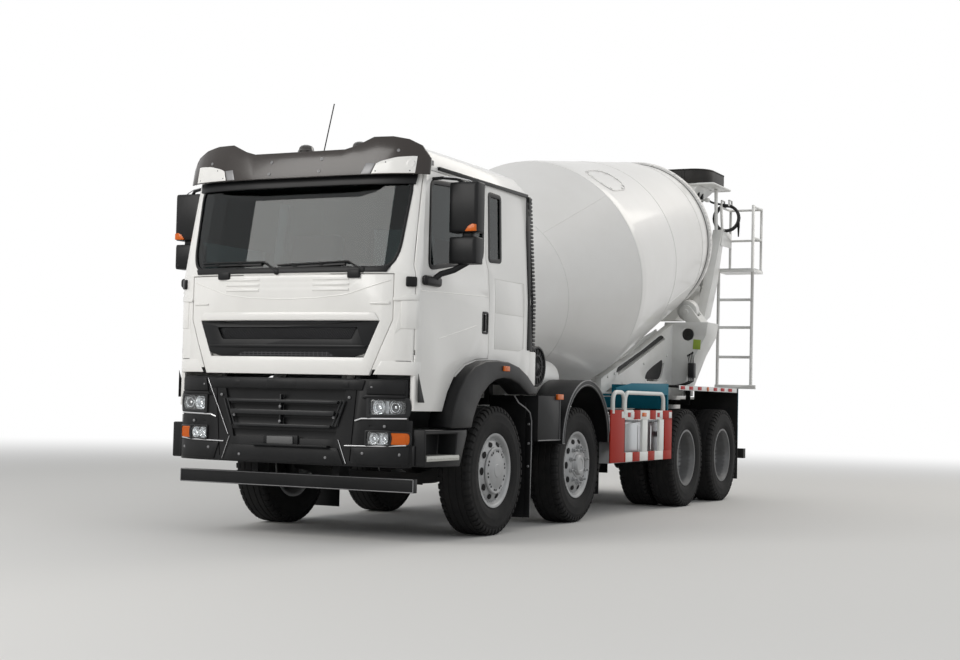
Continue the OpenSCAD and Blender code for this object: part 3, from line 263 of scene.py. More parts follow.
BEACON = finish_of("beacon_dark", (0.022, 0.018, 0.014), 0.2, coat=0.5, grain=0.05, grain_size=0.01)
PLATE_GREY = finish_of("blank_plate", (0.10, 0.10, 0.10), 0.5, grain=0.15, grain_size=0.004, stain=0.3)
GUARD_WHITE = finish_of("guard_white_paint", (0.74, 0.75, 0.72), 0.35, coat=0.2, grain=0.05,
                        grain_size=0.01, stain=0.2)
REFLECT_SILVER = finish_of("reflecting_silver", (0.60, 0.61, 0.60), 0.3, metallic=0.3,
                           grain=0.6, grain_size=0.003)
TAPE_RED = finish_of("reflecting_red", (0.40, 0.016, 0.02), 0.45, ior=1.22, grain=0.6, grain_size=0.003)
LABEL_GREEN = finish_of("label_green", (0.34, 0.46, 0.06), 0.4, grain=0.05, grain_size=0.004)
BLADE_GREY = finish_of("blade_steel", (0.22, 0.20, 0.18), 0.6, metallic=0.4, grain=0.4,
                       grain_size=0.02, stain=0.5)


# the ends of the axles: single wheels on the first two, twin wheels on the others
STEERED = [(axle, side) for axle in (1, 2) for side in ("left", "right")]
DRIVEN = [(axle, side) for axle in (3, 4) for side in ("left", "right")]


def tyre_node(axle, side):
    return f"tyre_{axle}_{side}" if (axle, side) in STEERED else f"tyres_{axle}_{side}"


# the finish of each CAD node that no eased copy stands for
NODE_FINISH = {
    CHASSIS_BLACK: ["chassis_frame", "steer_axles", "drive_axles"]
                   + [f"knuckle_{axle}_{side}" for axle, side in STEERED],
    CAST: ["engine_block"],
    BLACK_PLASTIC: ["front_grille", "mirror_left", "mirror_right"],
    LAMP_GLASS: ["front_lamps"],
    RED: ["side_guards"],
    FRAME_WHITE: ["subframe"],
    HOSE_RUBBER: ["wash_hose", "hose_coil"],
    GLASS: ["cab_glass", "door_glass_left", "door_glass_right"],
    SEAT_CLOTH: ["cab_interior"],
    RUBBER: [tyre_node(axle, side) for axle, side in STEERED + DRIVEN],
}


def dress_nodes():
    rows = [(name, mat) for mat, names in NODE_FINISH.items() for name in names]
    rows += [(row[0], row[3]) for row in EASED]
    for name, mat in rows:
        for place in frame["nodes"][name].material_slots:
            place.material = mat


# ---------------------------------------------------------------- ways of working
# sharp edges beyond these angles in degrees: left sharp by the shading, rounded by a bevel
SMOOTH_ANGLE, BEVEL_ANGLE, EASED_ANGLE = 34, 32, 28
AS_IS, MIRROR = Matrix.Identity(4), Matrix.Scale(-1, 4, (1, 0, 0))


def deselect():
    if bpy.context.object and bpy.context.object.mode != "OBJECT":
        bpy.ops.object.mode_set(mode="OBJECT")
    bpy.ops.object.select_all(action="DESELECT")


def pick(*objs):
    deselect()
    for obj in objs:
        obj.select_set(True)
    bpy.context.view_layer.objects.active = objs[0]
    return objs[0]


def apply_modifier(obj, kind, **settings):
    pick(obj)
    bpy.ops.object.modifier_add(type=kind)
    modifier = obj.modifiers[-1]
    for key, value in settings.items():
        setattr(modifier, key, value)
    bpy.ops.object.modifier_apply(modifier=modifier.name)
    return obj


def rounded(obj, width, steps=2, angle=BEVEL_ANGLE):
    if width:
        apply_modifier(obj, "BEVEL", width=width, segments=steps, limit_method="ANGLE",
                       angle_limit=radians(angle))
    return obj


def joined(objs):
    objs = [o for o in objs if o]
    pick(*objs)
    if len(objs) > 1:
        bpy.ops.object.join()
    return bpy.context.object


def block(lo, hi, bevel=0.0, steps=2):
    """a box between two corners, its edges rounded"""
    deselect()
    middle = [(a + b) / 2 for a, b in zip(lo, hi)]
    bpy.ops.mesh.primitive_cube_add(size=1, location=middle, scale=[abs(b - a) for a, b in zip(lo, hi)])
    bpy.ops.object.transform_apply(location=True, rotation=True, scale=True)
    return rounded(bpy.context.object, bevel, steps)


def slab(outline, axis, near, far, bevel=0.0, steps=2):
    """a plate cut to an outline, whose points leave out the axis, and drawn along it from near to far"""
    deselect()
    bpy.ops.mesh.primitive_circle_add(vertices=len(outline), fill_type="NGON")
    obj = bpy.context.object
    first, second = [k for k in range(3) if k != axis]
    for vert, point in zip(obj.data.vertices, outline):
        vert.co[first], vert.co[second] = point
        vert.co[axis] = near
    draw = [0, 0, 0]
    draw[axis] = far - near
    bpy.ops.object.mode_set(mode="EDIT")
    bpy.ops.mesh.select_all(action="SELECT")
    bpy.ops.mesh.extrude_region_move(TRANSFORM_OT_translate={"value": draw})
    bpy.ops.mesh.select_all(action="SELECT")
    bpy.ops.mesh.normals_make_consistent(inside=False)
    bpy.ops.object.mode_set(mode="OBJECT")
    return rounded(obj, bevel, steps)


def turned(outline, frame_of=AS_IS, steps=32):
    """a closed outline of (along, radius) points spun about X, then set in a frame"""
    deselect()
    bpy.ops.mesh.primitive_circle_add(vertices=len(outline), fill_type="NOTHING")
    obj = bpy.context.object
    for vert, (along, radius) in zip(obj.data.vertices, outline):
        vert.co = (along, radius, 0)
    bpy.ops.object.mode_set(mode="EDIT")
    bpy.ops.mesh.select_all(action="SELECT")
    bpy.ops.mesh.spin(steps=steps, angle=2 * pi, center=(0, 0, 0), axis=(1, 0, 0))
    bpy.ops.mesh.select_all(action="SELECT")
    bpy.ops.mesh.remove_doubles(threshold=1e-5)
    bpy.ops.mesh.delete_loose(use_verts=True, use_edges=True, use_faces=False)
    bpy.ops.mesh.select_all(action="SELECT")
    bpy.ops.mesh.normals_make_consistent(inside=False)
    bpy.ops.object.mode_set(mode="OBJECT")
    obj.data.transform(frame_of)
    return obj


def facing(place, toward):
    """the frame at a place whose X runs toward a direction"""
    x = Vector(toward).normalized()
    y = (Vector((0, 0, 1)) if abs(x.z) < 0.9 else Vector((0, 1, 0))).cross(x).normalized()
    return Matrix.Translation(place) @ Matrix((x, y, x.cross(y))).transposed().to_4x4()


def curve_along(path, radius, resolution, closed=False):
    """a curve through the points of a path, as thick as its radius says"""
    deselect()
    bpy.ops.curve.primitive_nurbs_path_add()
    line = bpy.context.object
    line.data.splines.clear()
    spline = line.data.splines.new("POLY")
    spline.points.add(len(path) - 1)
    for point, place in zip(spline.points, path):
        point.co = (*place, 1)
    spline.use_cyclic_u = closed
    line.data.bevel_depth = radius
    line.data.bevel_resolution = resolution
    line.data.use_fill_caps = not closed
    return line


def tube(path, radius, sides=10, closed=False):
    """a round bar bent along a path"""
    pick(curve_along(path, radius, max(0, sides // 2 - 2), closed))
    bpy.ops.object.convert(target="MESH")
    return bpy.context.object


def own_copy(obj):
    """a copy with a mesh of its own"""
    other = obj.copy()
    other.data = obj.data.copy()
    bpy.context.scene.collection.objects.link(other)
    return other


def copies(obj, frames):
    """a piece modelled at the origin, set in each frame"""
    made = []
    for where in frames:
        other = own_copy(obj)
        other.data.transform(where)
        if where.determinant() < 0:
            other.data.flip_normals()
        made.append(other)
    bpy.data.objects.remove(obj)
    return joined(made)


def without(obj, boxes):
    """takes the parts of a mesh inside the boxes away, counted from the front axle"""
    pick(obj)
    for lo, hi in boxes:
        for vert in obj.data.vertices:
            place = obj.matrix_world @ vert.co - Vector((0, AXLE_Y, 0))
            vert.select = all(a <= c <= b for a, c, b in zip(lo, place, hi))
        bpy.ops.object.mode_set(mode="EDIT")
        bpy.ops.mesh.select_mode(type="VERT")
        bpy.ops.mesh.delete(type="VERT")
        bpy.ops.object.mode_set(mode="OBJECT")


def both_sides(*parts):
    """the parts as one piece, and its mirror image on the other side of the truck"""
    return copies(joined(parts), [AS_IS, MIRROR])


def done(name, parts, body, material, smooth=SMOOTH_ANGLE):
    """joins the parts, moves them from the front axle's place into the frame, and hangs them on a body"""
    obj = joined(parts)
    obj.name = obj.data.name = name
    obj.data.transform(Matrix.Translation((0, AXLE_Y, 0)))
    obj.data.materials.clear()
    obj.data.materials.append(material)
    pick(obj)
    bpy.ops.object.shade_smooth_by_angle(angle=radians(smooth))
    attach(obj, body)
    return obj


def stepped(points, count):
    """a line of points with each of its sides cut into as many steps"""
    path = []
    for (a0, b0), (a1, b1) in zip(points, points[1:]):
        path += [(a0 + (a1 - a0) * k / count, b0 + (b1 - b0) * k / count) for k in range(count)]
    return path + [points[-1]]


def arc(middle, radius, start, end, steps):
    """points of an arc in a plane, angles in degrees"""
    turns = [radians(start + (end - start) * i / steps) for i in range(steps + 1)]
    return [(middle[0] + radius * cos(a), middle[1] + radius * sin(a)) for a in turns]


# ---------------------------------------------------------------- the cab's nose
NOSE_PLAN = [(0.0, -1.548), (0.4, -1.548), (0.7, -1.527), (0.85, -1.503), (0.95, -1.475), (1.035, -1.44),
             (1.095, -1.39), (1.12, -1.33)]
# the nose leans back above the belt, turned about a line at that height
BELT, LEAN, LEAN_Y = 2.09, radians(12.6), -1.5


def between(points, x):
    """the height of a line of points at x"""
    for (x0, z0), (x1, z1) in zip(points, points[1:]):
        if x <= x1:
            return z0 + (z1 - z0) * (x - x0) / (x1 - x0)
    return points[-1][1]


def nose_y(x, z, out=0.0):
    """how far forward the nose stands at x and z; out is the distance in front of its sheet"""
    plan = between(NOSE_PLAN, abs(x))
    if z <= BELT:
        return plan - out
    return LEAN_Y + (plan - LEAN_Y) / cos(LEAN) + (z - BELT) * tan(LEAN) - out / cos(LEAN)


def nose_strip(lower, upper, out, thick, columns=16, rows=1, surface=nose_y):
    """sheet on the nose between two lines of (x, z) points, thick in front of out"""
    deselect()
    bpy.ops.mesh.primitive_grid_add(x_subdivisions=columns, y_subdivisions=rows, size=2)
    obj = bpy.context.object
    for vert in obj.data.vertices:
        across, up = (vert.co.x + 1) / 2, (vert.co.y + 1) / 2
        ends = [line[0][0] + across * (line[-1][0] - line[0][0]) for line in (lower, upper)]
        low, high = between(lower, ends[0]), between(upper, ends[1])
        x, z = ends[0] + (ends[1] - ends[0]) * up, low + (high - low) * up
        vert.co = (x, surface(x, z, out + thick), z)
    return apply_modifier(obj, "SOLIDIFY", thickness=thick, offset=-1)


def closed_band(outer, inner, place, thick, away):
    """closed band between two loops of as many points, each set by place; away is its outer side"""
    deselect()
    bpy.ops.mesh.primitive_circle_add(vertices=len(outer), fill_type="NOTHING")
    obj = bpy.context.object
    bpy.ops.object.mode_set(mode="EDIT")
    bpy.ops.mesh.select_all(action="SELECT")
    bpy.ops.mesh.extrude_edges_move(TRANSFORM_OT_translate={"value": (0, 0, 1)})
    bpy.ops.object.mode_set(mode="OBJECT")
    for vert, point in zip(obj.data.vertices, outer + inner):
        vert.co = place(*point)
    if sum(face.normal.dot(away) for face in obj.data.polygons) < 0:
        obj.data.flip_normals()
    return apply_modifier(obj, "SOLIDIFY", thickness=thick, offset=-1)


def nose_band(outer, inner, out, thick, surface=nose_y):
    """closed band on the nose between two loops of (x, z) points"""
    return closed_band(outer, inner, lambda x, z: (x, surface(x, z, out + thick), z), thick,
                       Vector((0, -1, 0)))


def rounded_loop(corners, radius, steps=4):
    """a loop of (x, z) corners with each corner rounded"""
    loop = []
    for i, corner in enumerate(corners):
        here, before, after = Vector(corner), Vector(corners[i - 1]), Vector(corners[(i + 1) % len(corners)])
        a = here + (before - here).normalized() * min(radius, (before - here).length / 2.1)
        b = here + (after - here).normalized() * min(radius, (after - here).length / 2.1)
        for k in range(steps + 1):
            t = k / steps
            loop.append(tuple(a * (1 - t) ** 2 + here * 2 * t * (1 - t) + b * t * t))
    return loop


def filled(loop, most=0.12):
    """the loop with extra points so that no side is longer than most"""
    out = []
    for i, point in enumerate(loop):
        here, after = Vector(point), Vector(loop[(i + 1) % len(loop)])
        parts = max(1, int((after - here).length / most) + 1)
        out += [tuple(here.lerp(after, k / parts)) for k in range(parts)]
    return out


# ---------------------------------------------------------------- wash hose
HOSE_R = 0.014
HOSE_EXIT = (0.600, 7.370, 3.770)
COIL_MIDDLE = (0.765, 3.567)


def hose_route():
    """from the cock on the hopper, round to the top of the coil, four turns, and down to the nozzle"""
    bend, far, top = 0.165, 7.584, 3.738
    x0, y0, z0 = HOSE_EXIT
    route = [(x0, y0, z0), (x0, y0 + 0.025, z0)]
    for k in range(15):
        a = radians(90 * k / 14)
        route.append((x0 + bend * (1 - cos(a)), far + bend * (sin(a) - 1), z0 + (top - z0) * k / 14))
    # [turns up to here, radius, y] of the coil's windings
    stages = [(0.0, 0.171, 7.584), (0.95, 0.171, 7.584), (1.25, 0.171, 7.612), (1.95, 0.171, 7.614),
              (2.3, 0.156, 7.626), (2.9, 0.156, 7.626), (3.25, 0.156, 7.598), (3.7, 0.156, 7.598),
              (4.25, 0.167, 7.586)]
    steps = 24
    for k in range(1, int(4.25 * steps) + 1):
        turn = k / steps
        radius = between([(s[0], s[1]) for s in stages], turn)
        y = between([(s[0], s[2]) for s in stages], turn)
        a = pi / 2 - 2 * pi * turn
        route.append((COIL_MIDDLE[0] + radius * cos(a), y, COIL_MIDDLE[1] + radius * sin(a)))
    last = route[-1]
    route += [(last[0], last[1], last[2] - 0.03 * k) for k in (1, 2, 2.9)]
    return route


def wash_hose():
    route = [Vector(p) + Vector((0, AXLE_Y, 0)) for p in hose_route()]
    hose = curve_along(route, HOSE_R, 5)
    hose.matrix_world = AS_IS
    hose.name = hose.data.name = "wash_hose_line"
    hose.data.materials.append(HOSE_RUBBER)
    barrel = turned([(0.02, 0), (0.02, 0.0165), (-0.045, 0.0165), (-0.055, 0.0145), (-0.16, 0.0085),
                     (-0.16, 0.005), (-0.15, 0)], facing(hose_route()[-1], (0, 0, 1)), 24)
    nozzle = done("wash_nozzle", [barrel], "chassis", BLACK_PLASTIC)
    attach(hose, "chassis")
    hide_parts("wash_hose", "hose_coil")


def hose_hooks():
    """two hooks on the ladder's gusset that hold the coil"""
    parts = []
    for x in (0.715, 0.815):
        parts.append(block((x - 0.012, 7.535, 3.718), (x + 0.012, 7.545, 3.80), 0.002))
        parts.append(block((x - 0.012, 7.535, 3.788), (x + 0.012, 7.66, 3.80), 0.003))
        parts.append(block((x - 0.012, 7.65, 3.70), (x + 0.012, 7.66, 3.80), 0.003))
    return done("hose_hooks", parts, "chassis", FRAME_WHITE)


# ---------------------------------------------------------------- CAD nodes with smooth shading, eased edges
def softened(node, name, bevel, material, slot):
    """a copy of a CAD node's mesh with its edges eased; it stands for the node"""
    source = frame["nodes"][node]
    deselect()
    mesh = source.data.copy()
    obj = bpy.data.objects.new(name, mesh)
    bpy.context.scene.collection.objects.link(obj)
    pick(obj)
    bpy.ops.object.mode_set(mode="EDIT")
    bpy.ops.mesh.select_all(action="SELECT")
    bpy.ops.mesh.remove_doubles(threshold=2e-5)
    if bevel:
        bpy.ops.mesh.dissolve_limited(angle_limit=radians(1))
    bpy.ops.object.mode_set(mode="OBJECT")
    if bevel:
        apply_modifier(rounded(obj, bevel, angle=EASED_ANGLE), "TRIANGULATE")
    obj.data.materials.clear()
    obj.data.materials.append(material)
    pick(obj)
    bpy.ops.object.shade_smooth_by_angle(angle=radians(SMOOTH_ANGLE))
    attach(obj, body_of(source)[0])
    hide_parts(node)
    return obj


# [node, piece, edge radius, finish, slot]
EASED = [
    ("cab_shell", "cab_body", 0.006, CAB_WHITE, "cab_white"),
    ("door_left", "door_left_panel", 0.003, CAB_WHITE, "cab_white"),
    ("door_right", "door_right_panel", 0.003, CAB_WHITE, "cab_white"),
    ("front_flap", "flap_panel", 0.006, CAB_WHITE, "cab_white"),
    ("sun_visor", "visor_shell", 0.004, VISOR_BLACK, "visor"),
    ("bumper", "bumper_shell", 0.009, BLACK_PLASTIC, "black_plastic"),
    ("arch_flares", "arch_flare_mouldings", 0.014, BLACK_PLASTIC, "black_plastic"),
    ("fenders", "fender_mouldings", 0.006, BLACK_PLASTIC, "black_plastic"),
    ("step_boxes", "step_mouldings", 0.01, BLACK_PLASTIC, "black_plastic"),
    ("cab_fittings", "cab_fitting_mouldings", 0.003, BLACK_PLASTIC, "black_plastic"),
    ("air_intake", "intake_drum", 0.008, BLACK_PLASTIC, "black_plastic"),
    ("side_tanks", "side_tank_shells", 0.0, TANK_ALLOY, "tank"),
    ("water_tank", "water_tank_shell", 0.008, FRAME_WHITE, "mixer_white"),
    ("side_panels", "side_panel_plates", 0.003, TEAL, "teal"),
    ("rear_deck", "rear_deck_plates", 0.002, CHASSIS_BLACK, "deck"),
    ("drum", "drum_shell", 0.0, DRUM_WHITE, "drum_white"),
    ("rear_pedestal", "pedestal_frame", 0.003, FRAME_WHITE, "mixer_white"),
    ("charge_hopper", "hopper_shell", 0.002, FRAME_WHITE, "mixer_white"),
    ("hopper_guard", "hopper_guard_sheet", 0.002, GUARD_RUBBER, "hopper_dark"),
    ("discharge_funnel", "funnel_shell", 0.002, FRAME_WHITE, "mixer_white"),
    ("ladder", "ladder_frame", 0.0, FRAME_WHITE, "mixer_white"),
    ("chute", "chute_trough", 0.0015, FRAME_WHITE, "mixer_white"),
    ("chute_turret", "chute_turret_frame", 0.003, FRAME_WHITE, "mixer_white"),
    ("drum_gearbox", "gearbox_casing", 0.004, CAST, "gearbox"),
]
EASED += [(f"rim_{axle}_{side}", f"rim_disc_{axle}_{side}", 0.0, RIM_SILVER, "rim") for axle, side in STEERED]
EASED += [(f"rims_{axle}_{side}", f"rim_pair_{axle}_{side}", 0.0, RIM_GREY, "rim") for axle, side in DRIVEN]


# ---------------------------------------------------------------- cab front
SCREEN_EDGE = [(-0.992, 2.822), (-0.96, 2.25), (-0.9, 2.125), (0.9, 2.125), (0.96, 2.25), (0.992, 2.822)]


def grown(loop, by):
    """a loop pushed outwards from its middle by a width on each side"""
    cx = (min(p[0] for p in loop) + max(p[0] for p in loop)) / 2
    cz = (min(p[1] for p in loop) + max(p[1] for p in loop)) / 2
    half_x = max(p[0] for p in loop) - cx
    half_z = max(p[1] for p in loop) - cz
    return [(cx + (x - cx) * (1 + by / half_x), cz + (z - cz) * (1 + by / half_z)) for x, z in loop]


def screen_surround():
    """seal round the windscreen, the header above it and the cowl below"""
    edge = filled(rounded_loop(SCREEN_EDGE, 0.09), 0.1)
    seal = nose_band(grown(edge, 0.006), grown(edge, -0.014), -0.006, 0.012)
    header = nose_strip([(-1.01, 2.79), (1.01, 2.79)], [(-1.02, 2.868), (1.02, 2.868)], 0.001, 0.02, 24)
    cowl = nose_strip([(-0.88, 2.094), (0.88, 2.094)], [(-0.9, 2.132), (0.9, 2.132)], 0.001, 0.012, 24)
    return done("screen_surround", [rounded(seal, 0.003), rounded(header, 0.004), rounded(cowl, 0.003)],
                "cab", BLACK_PLASTIC)


# the visor's face in front of the nose, and its lower edge
VISOR_OUT, VISOR_FOOT = 0.075, 2.866


def visor_y(x, z, out=0.0):
    return nose_y(x, z, VISOR_OUT + out)


def visor_corner_lamps():
    """white panels with round lenses at the visor's corners, the trims beside them and their screws"""
    panel = nose_strip([(0.682, VISOR_FOOT), (1.112, VISOR_FOOT)],
                       [(0.712, 2.946), (0.75, 2.966), (0.874, 2.995), (1.0, 3.004), (1.108, 2.998)],
                       0.0, 0.007, 14, 3, visor_y)
    lens = turned([(0, 0), (0.004, 0.02), (0.004, 0.03), (0, 0.036), (-0.006, 0.036), (-0.006, 0)],
                  facing((0.985, visor_y(0.985, 2.94, 0.007), 2.94), (0.35, -1, 0.1)), 24)
    done("visor_corner_panels", [both_sides(rounded(panel, 0.003), lens)], "cab", CAB_WHITE)
    trim = nose_strip([(0.592, VISOR_FOOT), (0.672, VISOR_FOOT)], [(0.626, 2.952), (0.704, 2.948)], 0.0,
                      0.005, 4, 2, visor_y)
    done("visor_corner_trim", [both_sides(rounded(trim, 0.002))], "cab", TRIM_GREY)
    heads = [(0.715, 2.885), (0.985, 2.885), (0.79, 2.955), (1.06, 2.975)]
    dot = turned([(0.003, 0), (0.002, 0.004), (0, 0.006), (-0.004, 0.006), (-0.004, 0)], steps=12)
    dots = copies(dot, [facing((x, visor_y(x, z, 0.007), z), (x * 0.3, -1, 0.2)) for x, z in heads])
    return done("visor_panel_screws", [both_sides(dots)], "cab", CAST)


def visor_screws():
    cup = turned([(0.003, 0), (0.003, 0.005), (0.002, 0.007), (0.004, 0.009), (0.004, 0.012), (0, 0.014),
                  (-0.006, 0.014), (-0.006, 0)], steps=20)
    places = [(-0.868, 3.02), (-0.247, 2.996), (-0.256, 2.898), (0.221, 3.002),
              (0.212, 2.902), (0.878, 3.048)]
    frames = [facing((x, visor_y(x, z, 0.001), z), (x * 0.25, -1, 0.22)) for x, z in places]
    return done("visor_screws", [copies(cup, frames)], "cab", TRIM_GREY)


def roof_beacons():
    """two low ribbed domes on the roof"""
    dome = turned([(0.0, 0), (0.0, 0.07), (0.012, 0.072), (0.018, 0.069), (0.021, 0.064), (0.042, 0.058),
                   (0.056, 0.044), (0.064, 0.022), (0.066, 0)], steps=32)
    rib = slab([(0.02, 0.066), (0.042, 0.060), (0.057, 0.046), (0.066, 0.02), (0.068, 0.0), (0.06, 0.0),
                (0.042, 0.05), (0.02, 0.056)], 1, -0.003, 0.003)
    ribs = copies(rib, [Matrix.Rotation(2 * pi * k / 10, 4, "X") for k in range(10)])
    dome = joined([dome, ribs])
    up = [facing((x, -0.9, 3.155), (0, 0, 1)) for x in (-0.26, 0.26)]
    return done("roof_beacons", [copies(dome, up)], "cab", BEACON)


def wipers():
    """two arms lying along the foot of the screen, with their blades, clips and pivot covers"""
    parts = []
    # [foot, elbow, tip] of each arm
    for foot, elbow, tip in (((-0.086, 2.104), (-0.211, 2.183), (-0.83, 2.183)),
                             ((0.681, 2.112), (0.557, 2.177), (-0.079, 2.154))):
        line = [foot] + stepped([elbow, tip], 8)
        parts.append(tube([(x, nose_y(x, z, 0.014), z) for x, z in line], 0.0075, 8))
        parts.append(turned([(0, 0), (0, 0.026), (0.012, 0.026), (0.018, 0.018), (0.019, 0)],
                            facing((foot[0], nose_y(*foot), foot[1]), (0, -1, 0.2)), 20))
        low, high = -0.026, -0.012
        parts.append(nose_strip([(tip[0], tip[1] + low), (elbow[0] - 0.03, elbow[1] + low)],
                                [(tip[0], tip[1] + high), (elbow[0] - 0.03, elbow[1] + high)],
                                0.002, 0.008, 12))
        for x, z in (line[4], line[7]):
            y = nose_y(x, z)
            parts.append(block((x - 0.02, y - 0.018, z - 0.02), (x + 0.02, y - 0.004, z + 0.01), 0.003))
    for x in (-0.592, 0.613):
        y = nose_y(x, 2.08)
        parts.append(block((x - 0.056, y - 0.02, 2.046), (x + 0.056, y + 0.006, 2.112), 0.01, 3))
    return done("wiper_arms", parts, "cab", BLACK_PLASTIC)


def corner_ledges():
    """shelf across the nose's corner with the pocket plate under it, and the raised strip by the flap"""
    shelf = nose_strip([(0.938, 1.874), (0.985, 1.874), (1.108, 1.882)],
                       [(0.938, 1.895), (0.985, 1.905), (1.108, 1.928)], -0.002, 0.016, 12)
    plate = nose_strip([(0.992, 1.66), (1.108, 1.66)], [(0.992, 1.876), (1.108, 1.882)], -0.002, 0.009, 10, 2)
    foot = nose_strip([(0.95, 1.622), (0.992, 1.66)], [(0.95, 1.636), (0.992, 1.876)], -0.002, 0.005, 3, 2)
    corner = nose_strip([(0.789, 1.306), (1.116, 1.306)], [(0.848, 1.41), (1.116, 1.41)],
                        -0.004, 0.006, 14, 2)
    pad = nose_strip([(1.035, 1.982), (1.10, 1.982)], [(1.035, 2.06), (1.10, 2.06)], -0.004, 0.03, 6, 1)
    done("mirror_pads", [both_sides(rounded(pad, 0.012, 3))], "cab", BLACK_PLASTIC)
    return done("corner_ledges", [both_sides(*[rounded(p, 0.004) for p in (shelf, plate, foot, corner)])],
                "cab", CAB_WHITE)


def flap_face():
    """the flap's raised lower face under its V-shaped crease, the ledges beside it, the lip below"""
    crease = [(-0.912, 2.036), (-0.555, 1.926), (-0.3, 1.9), (0, 1.892), (0.3, 1.9),
              (0.555, 1.926), (0.912, 2.036)]
    under = [(x, z - 0.008) for x, z in crease]
    ridge = nose_strip(under, crease, -0.001, 0.005, 32)
    ledge = nose_strip([(0.752, 1.846), (0.912, 1.846)], [(0.752, 1.858), (0.912, 1.866)], -0.001, 0.013, 6)
    lip = nose_strip([(-0.83, 1.722), (0.83, 1.722)], [(-0.795, 1.782), (0, 1.786), (0.795, 1.782)],
                     -0.001, 0.012, 32, 2)
    parts = [rounded(ridge, 0.002), both_sides(rounded(ledge, 0.004)), rounded(lip, 0.005)]
    return done("flap_face", parts, "front_flap", CAB_WHITE)


GRILLE_EDGE = [(-0.828, 1.716), (0.828, 1.716), (0.73, 1.47), (0.62, 1.438), (-0.62, 1.438), (-0.73, 1.47)]


def grille():
    """frame with its long window, the ridge under it, and the mesh behind"""
    window = [(-0.655, 1.668), (0, 1.668), (0.655, 1.668), (0.6, 1.572), (0, 1.572), (-0.6, 1.572)]
    outer, inner = rounded_loop(GRILLE_EDGE, 0.02, 3), rounded_loop(window, 0.02, 3)
    frame_band = nose_band(outer, inner, -0.018, 0.012)
    ridge = nose_strip([(-0.72, 1.508), (0.72, 1.508)], [(-0.735, 1.53), (0.735, 1.53)], -0.01, 0.014, 20)
    back = nose_strip([(-0.62, 1.436), (0.62, 1.436)], [(-0.828, 1.716), (0.828, 1.716)],
                      -0.034, 0.006, 24, 2)
    parts = [rounded(frame_band, 0.004), rounded(ridge, 0.004), back]
    made = done("grille_frame", parts, "front_flap", GRILLE_BLACK)
    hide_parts("front_grille")
    # [x, z] of the lower and upper end of each wire
    ends = [((k * 0.015 - 0.0275, 1.57), (k * 0.015 + 0.0275, 1.67)) for k in range(-40, 41)]
    wires = [tube([(x, nose_y(x, z, -0.024), z) for x, z in pair], 0.0022, 4) for pair in ends]
    bars = [nose_strip([(-0.64, z), (0.64, z)], [(-0.64, z + 0.005), (0.64, z + 0.005)], -0.024, 0.008, 20)
            for z in (1.448, 1.464, 1.480, 1.496)]
    teeth = [nose_strip([(x, 1.44), (x + 0.006, 1.44)], [(x, 1.505), (x + 0.006, 1.505)], -0.024, 0.008, 1)
             for x in [k * 0.04 - 0.62 for k in range(32)]]
    return done("grille_mesh", wires + bars + teeth, "front_flap", WIRE_GREY)


# ---------------------------------------------------------------- bumper
# the bumper's face behind the nose's plan, and its front in the middle
BUMPER_BACK = 0.02
BUMPER_MID = NOSE_PLAN[0][1] + BUMPER_BACK
# how far the fittings on its crown may stand out, so that the tilting cab passes them
CROWN_OUT = 0.0135


def bumper_y(x, z=0.0, out=0.0):
    """the bumper's face, upright at every height z"""
    return between(NOSE_PLAN, abs(x)) + BUMPER_BACK - out


def sheet_on_bumper(lower, upper, out, thick, columns=8, rows=1):
    return nose_strip(lower, upper, out, thick, columns, rows, bumper_y)


def bumper_panels():
    """the raised end panels above and below the headlamps, and the sill across the middle"""
    top = sheet_on_bumper([(0.735, 1.155), (1.036, 1.155)], [(0.76, 1.26), (1.036, 1.262)],
                          -0.002, 0.016, 10, 2)
    brow = sheet_on_bumper([(0.70, 1.126), (1.036, 1.128)], [(0.735, 1.15), (1.036, 1.152)],
                           -0.002, 0.024, 10)
    low = sheet_on_bumper([(0.66, 0.615), (1.062, 0.615)], [(0.612, 0.745), (1.062, 0.76)],
                          -0.002, 0.012, 10, 2)
    sill = sheet_on_bumper([(-0.555, 0.61), (0.555, 0.61)], [(-0.5, 0.735), (0.5, 0.735)],
                           -0.002, 0.012, 16, 2)
    crown = sheet_on_bumper([(-0.70, 1.185), (0.70, 1.185)], [(-0.725, 1.262), (0.725, 1.262)],
                            -0.002, 0.014, 16, 2)
    parts = [both_sides(*[rounded(p, 0.006) for p in (top, brow, low)]), rounded(sill, 0.005),
             rounded(crown, 0.006)]
    # two tread steps and the number plate's pocket
    parts.append(block((-0.27, BUMPER_MID - 0.045, 0.735), (0.43, BUMPER_MID + 0.02, 0.752), 0.004))
    parts.append(block((-0.17, BUMPER_MID - 0.018, 0.742), (0.15, BUMPER_MID + 0.005, 0.822), 0.006))
    # towing pin cover between the flap's locks
    parts.append(block((-0.16, BUMPER_MID - CROWN_OUT, 1.195), (0.12, BUMPER_MID + 0.01, 1.255), 0.005))
    # brackets on the crown, and the ends that wrap round to the steps
    for x in (-0.45, 0.55):
        y = bumper_y(x)
        parts.append(block((x - 0.04, y - CROWN_OUT, 1.20), (x + 0.04, y + 0.01, 1.25), 0.005))
    wrap = slab([(-1.385, 0.612), (-1.24, 0.612), (-1.24, 0.77), (-1.385, 0.77)], 0, 1.06, 1.10, 0.008)
    parts.append(both_sides(wrap))
    return done("bumper_panels", parts, "chassis", BLACK_PLASTIC)


def door_corner():
    """black trim on the door's lower front corner"""
    return slab([(-1.392, 1.10), (-1.284, 1.10), (-1.33, 1.19), (-1.392, 1.32)], 0, 1.118, 1.1212, 0.001)


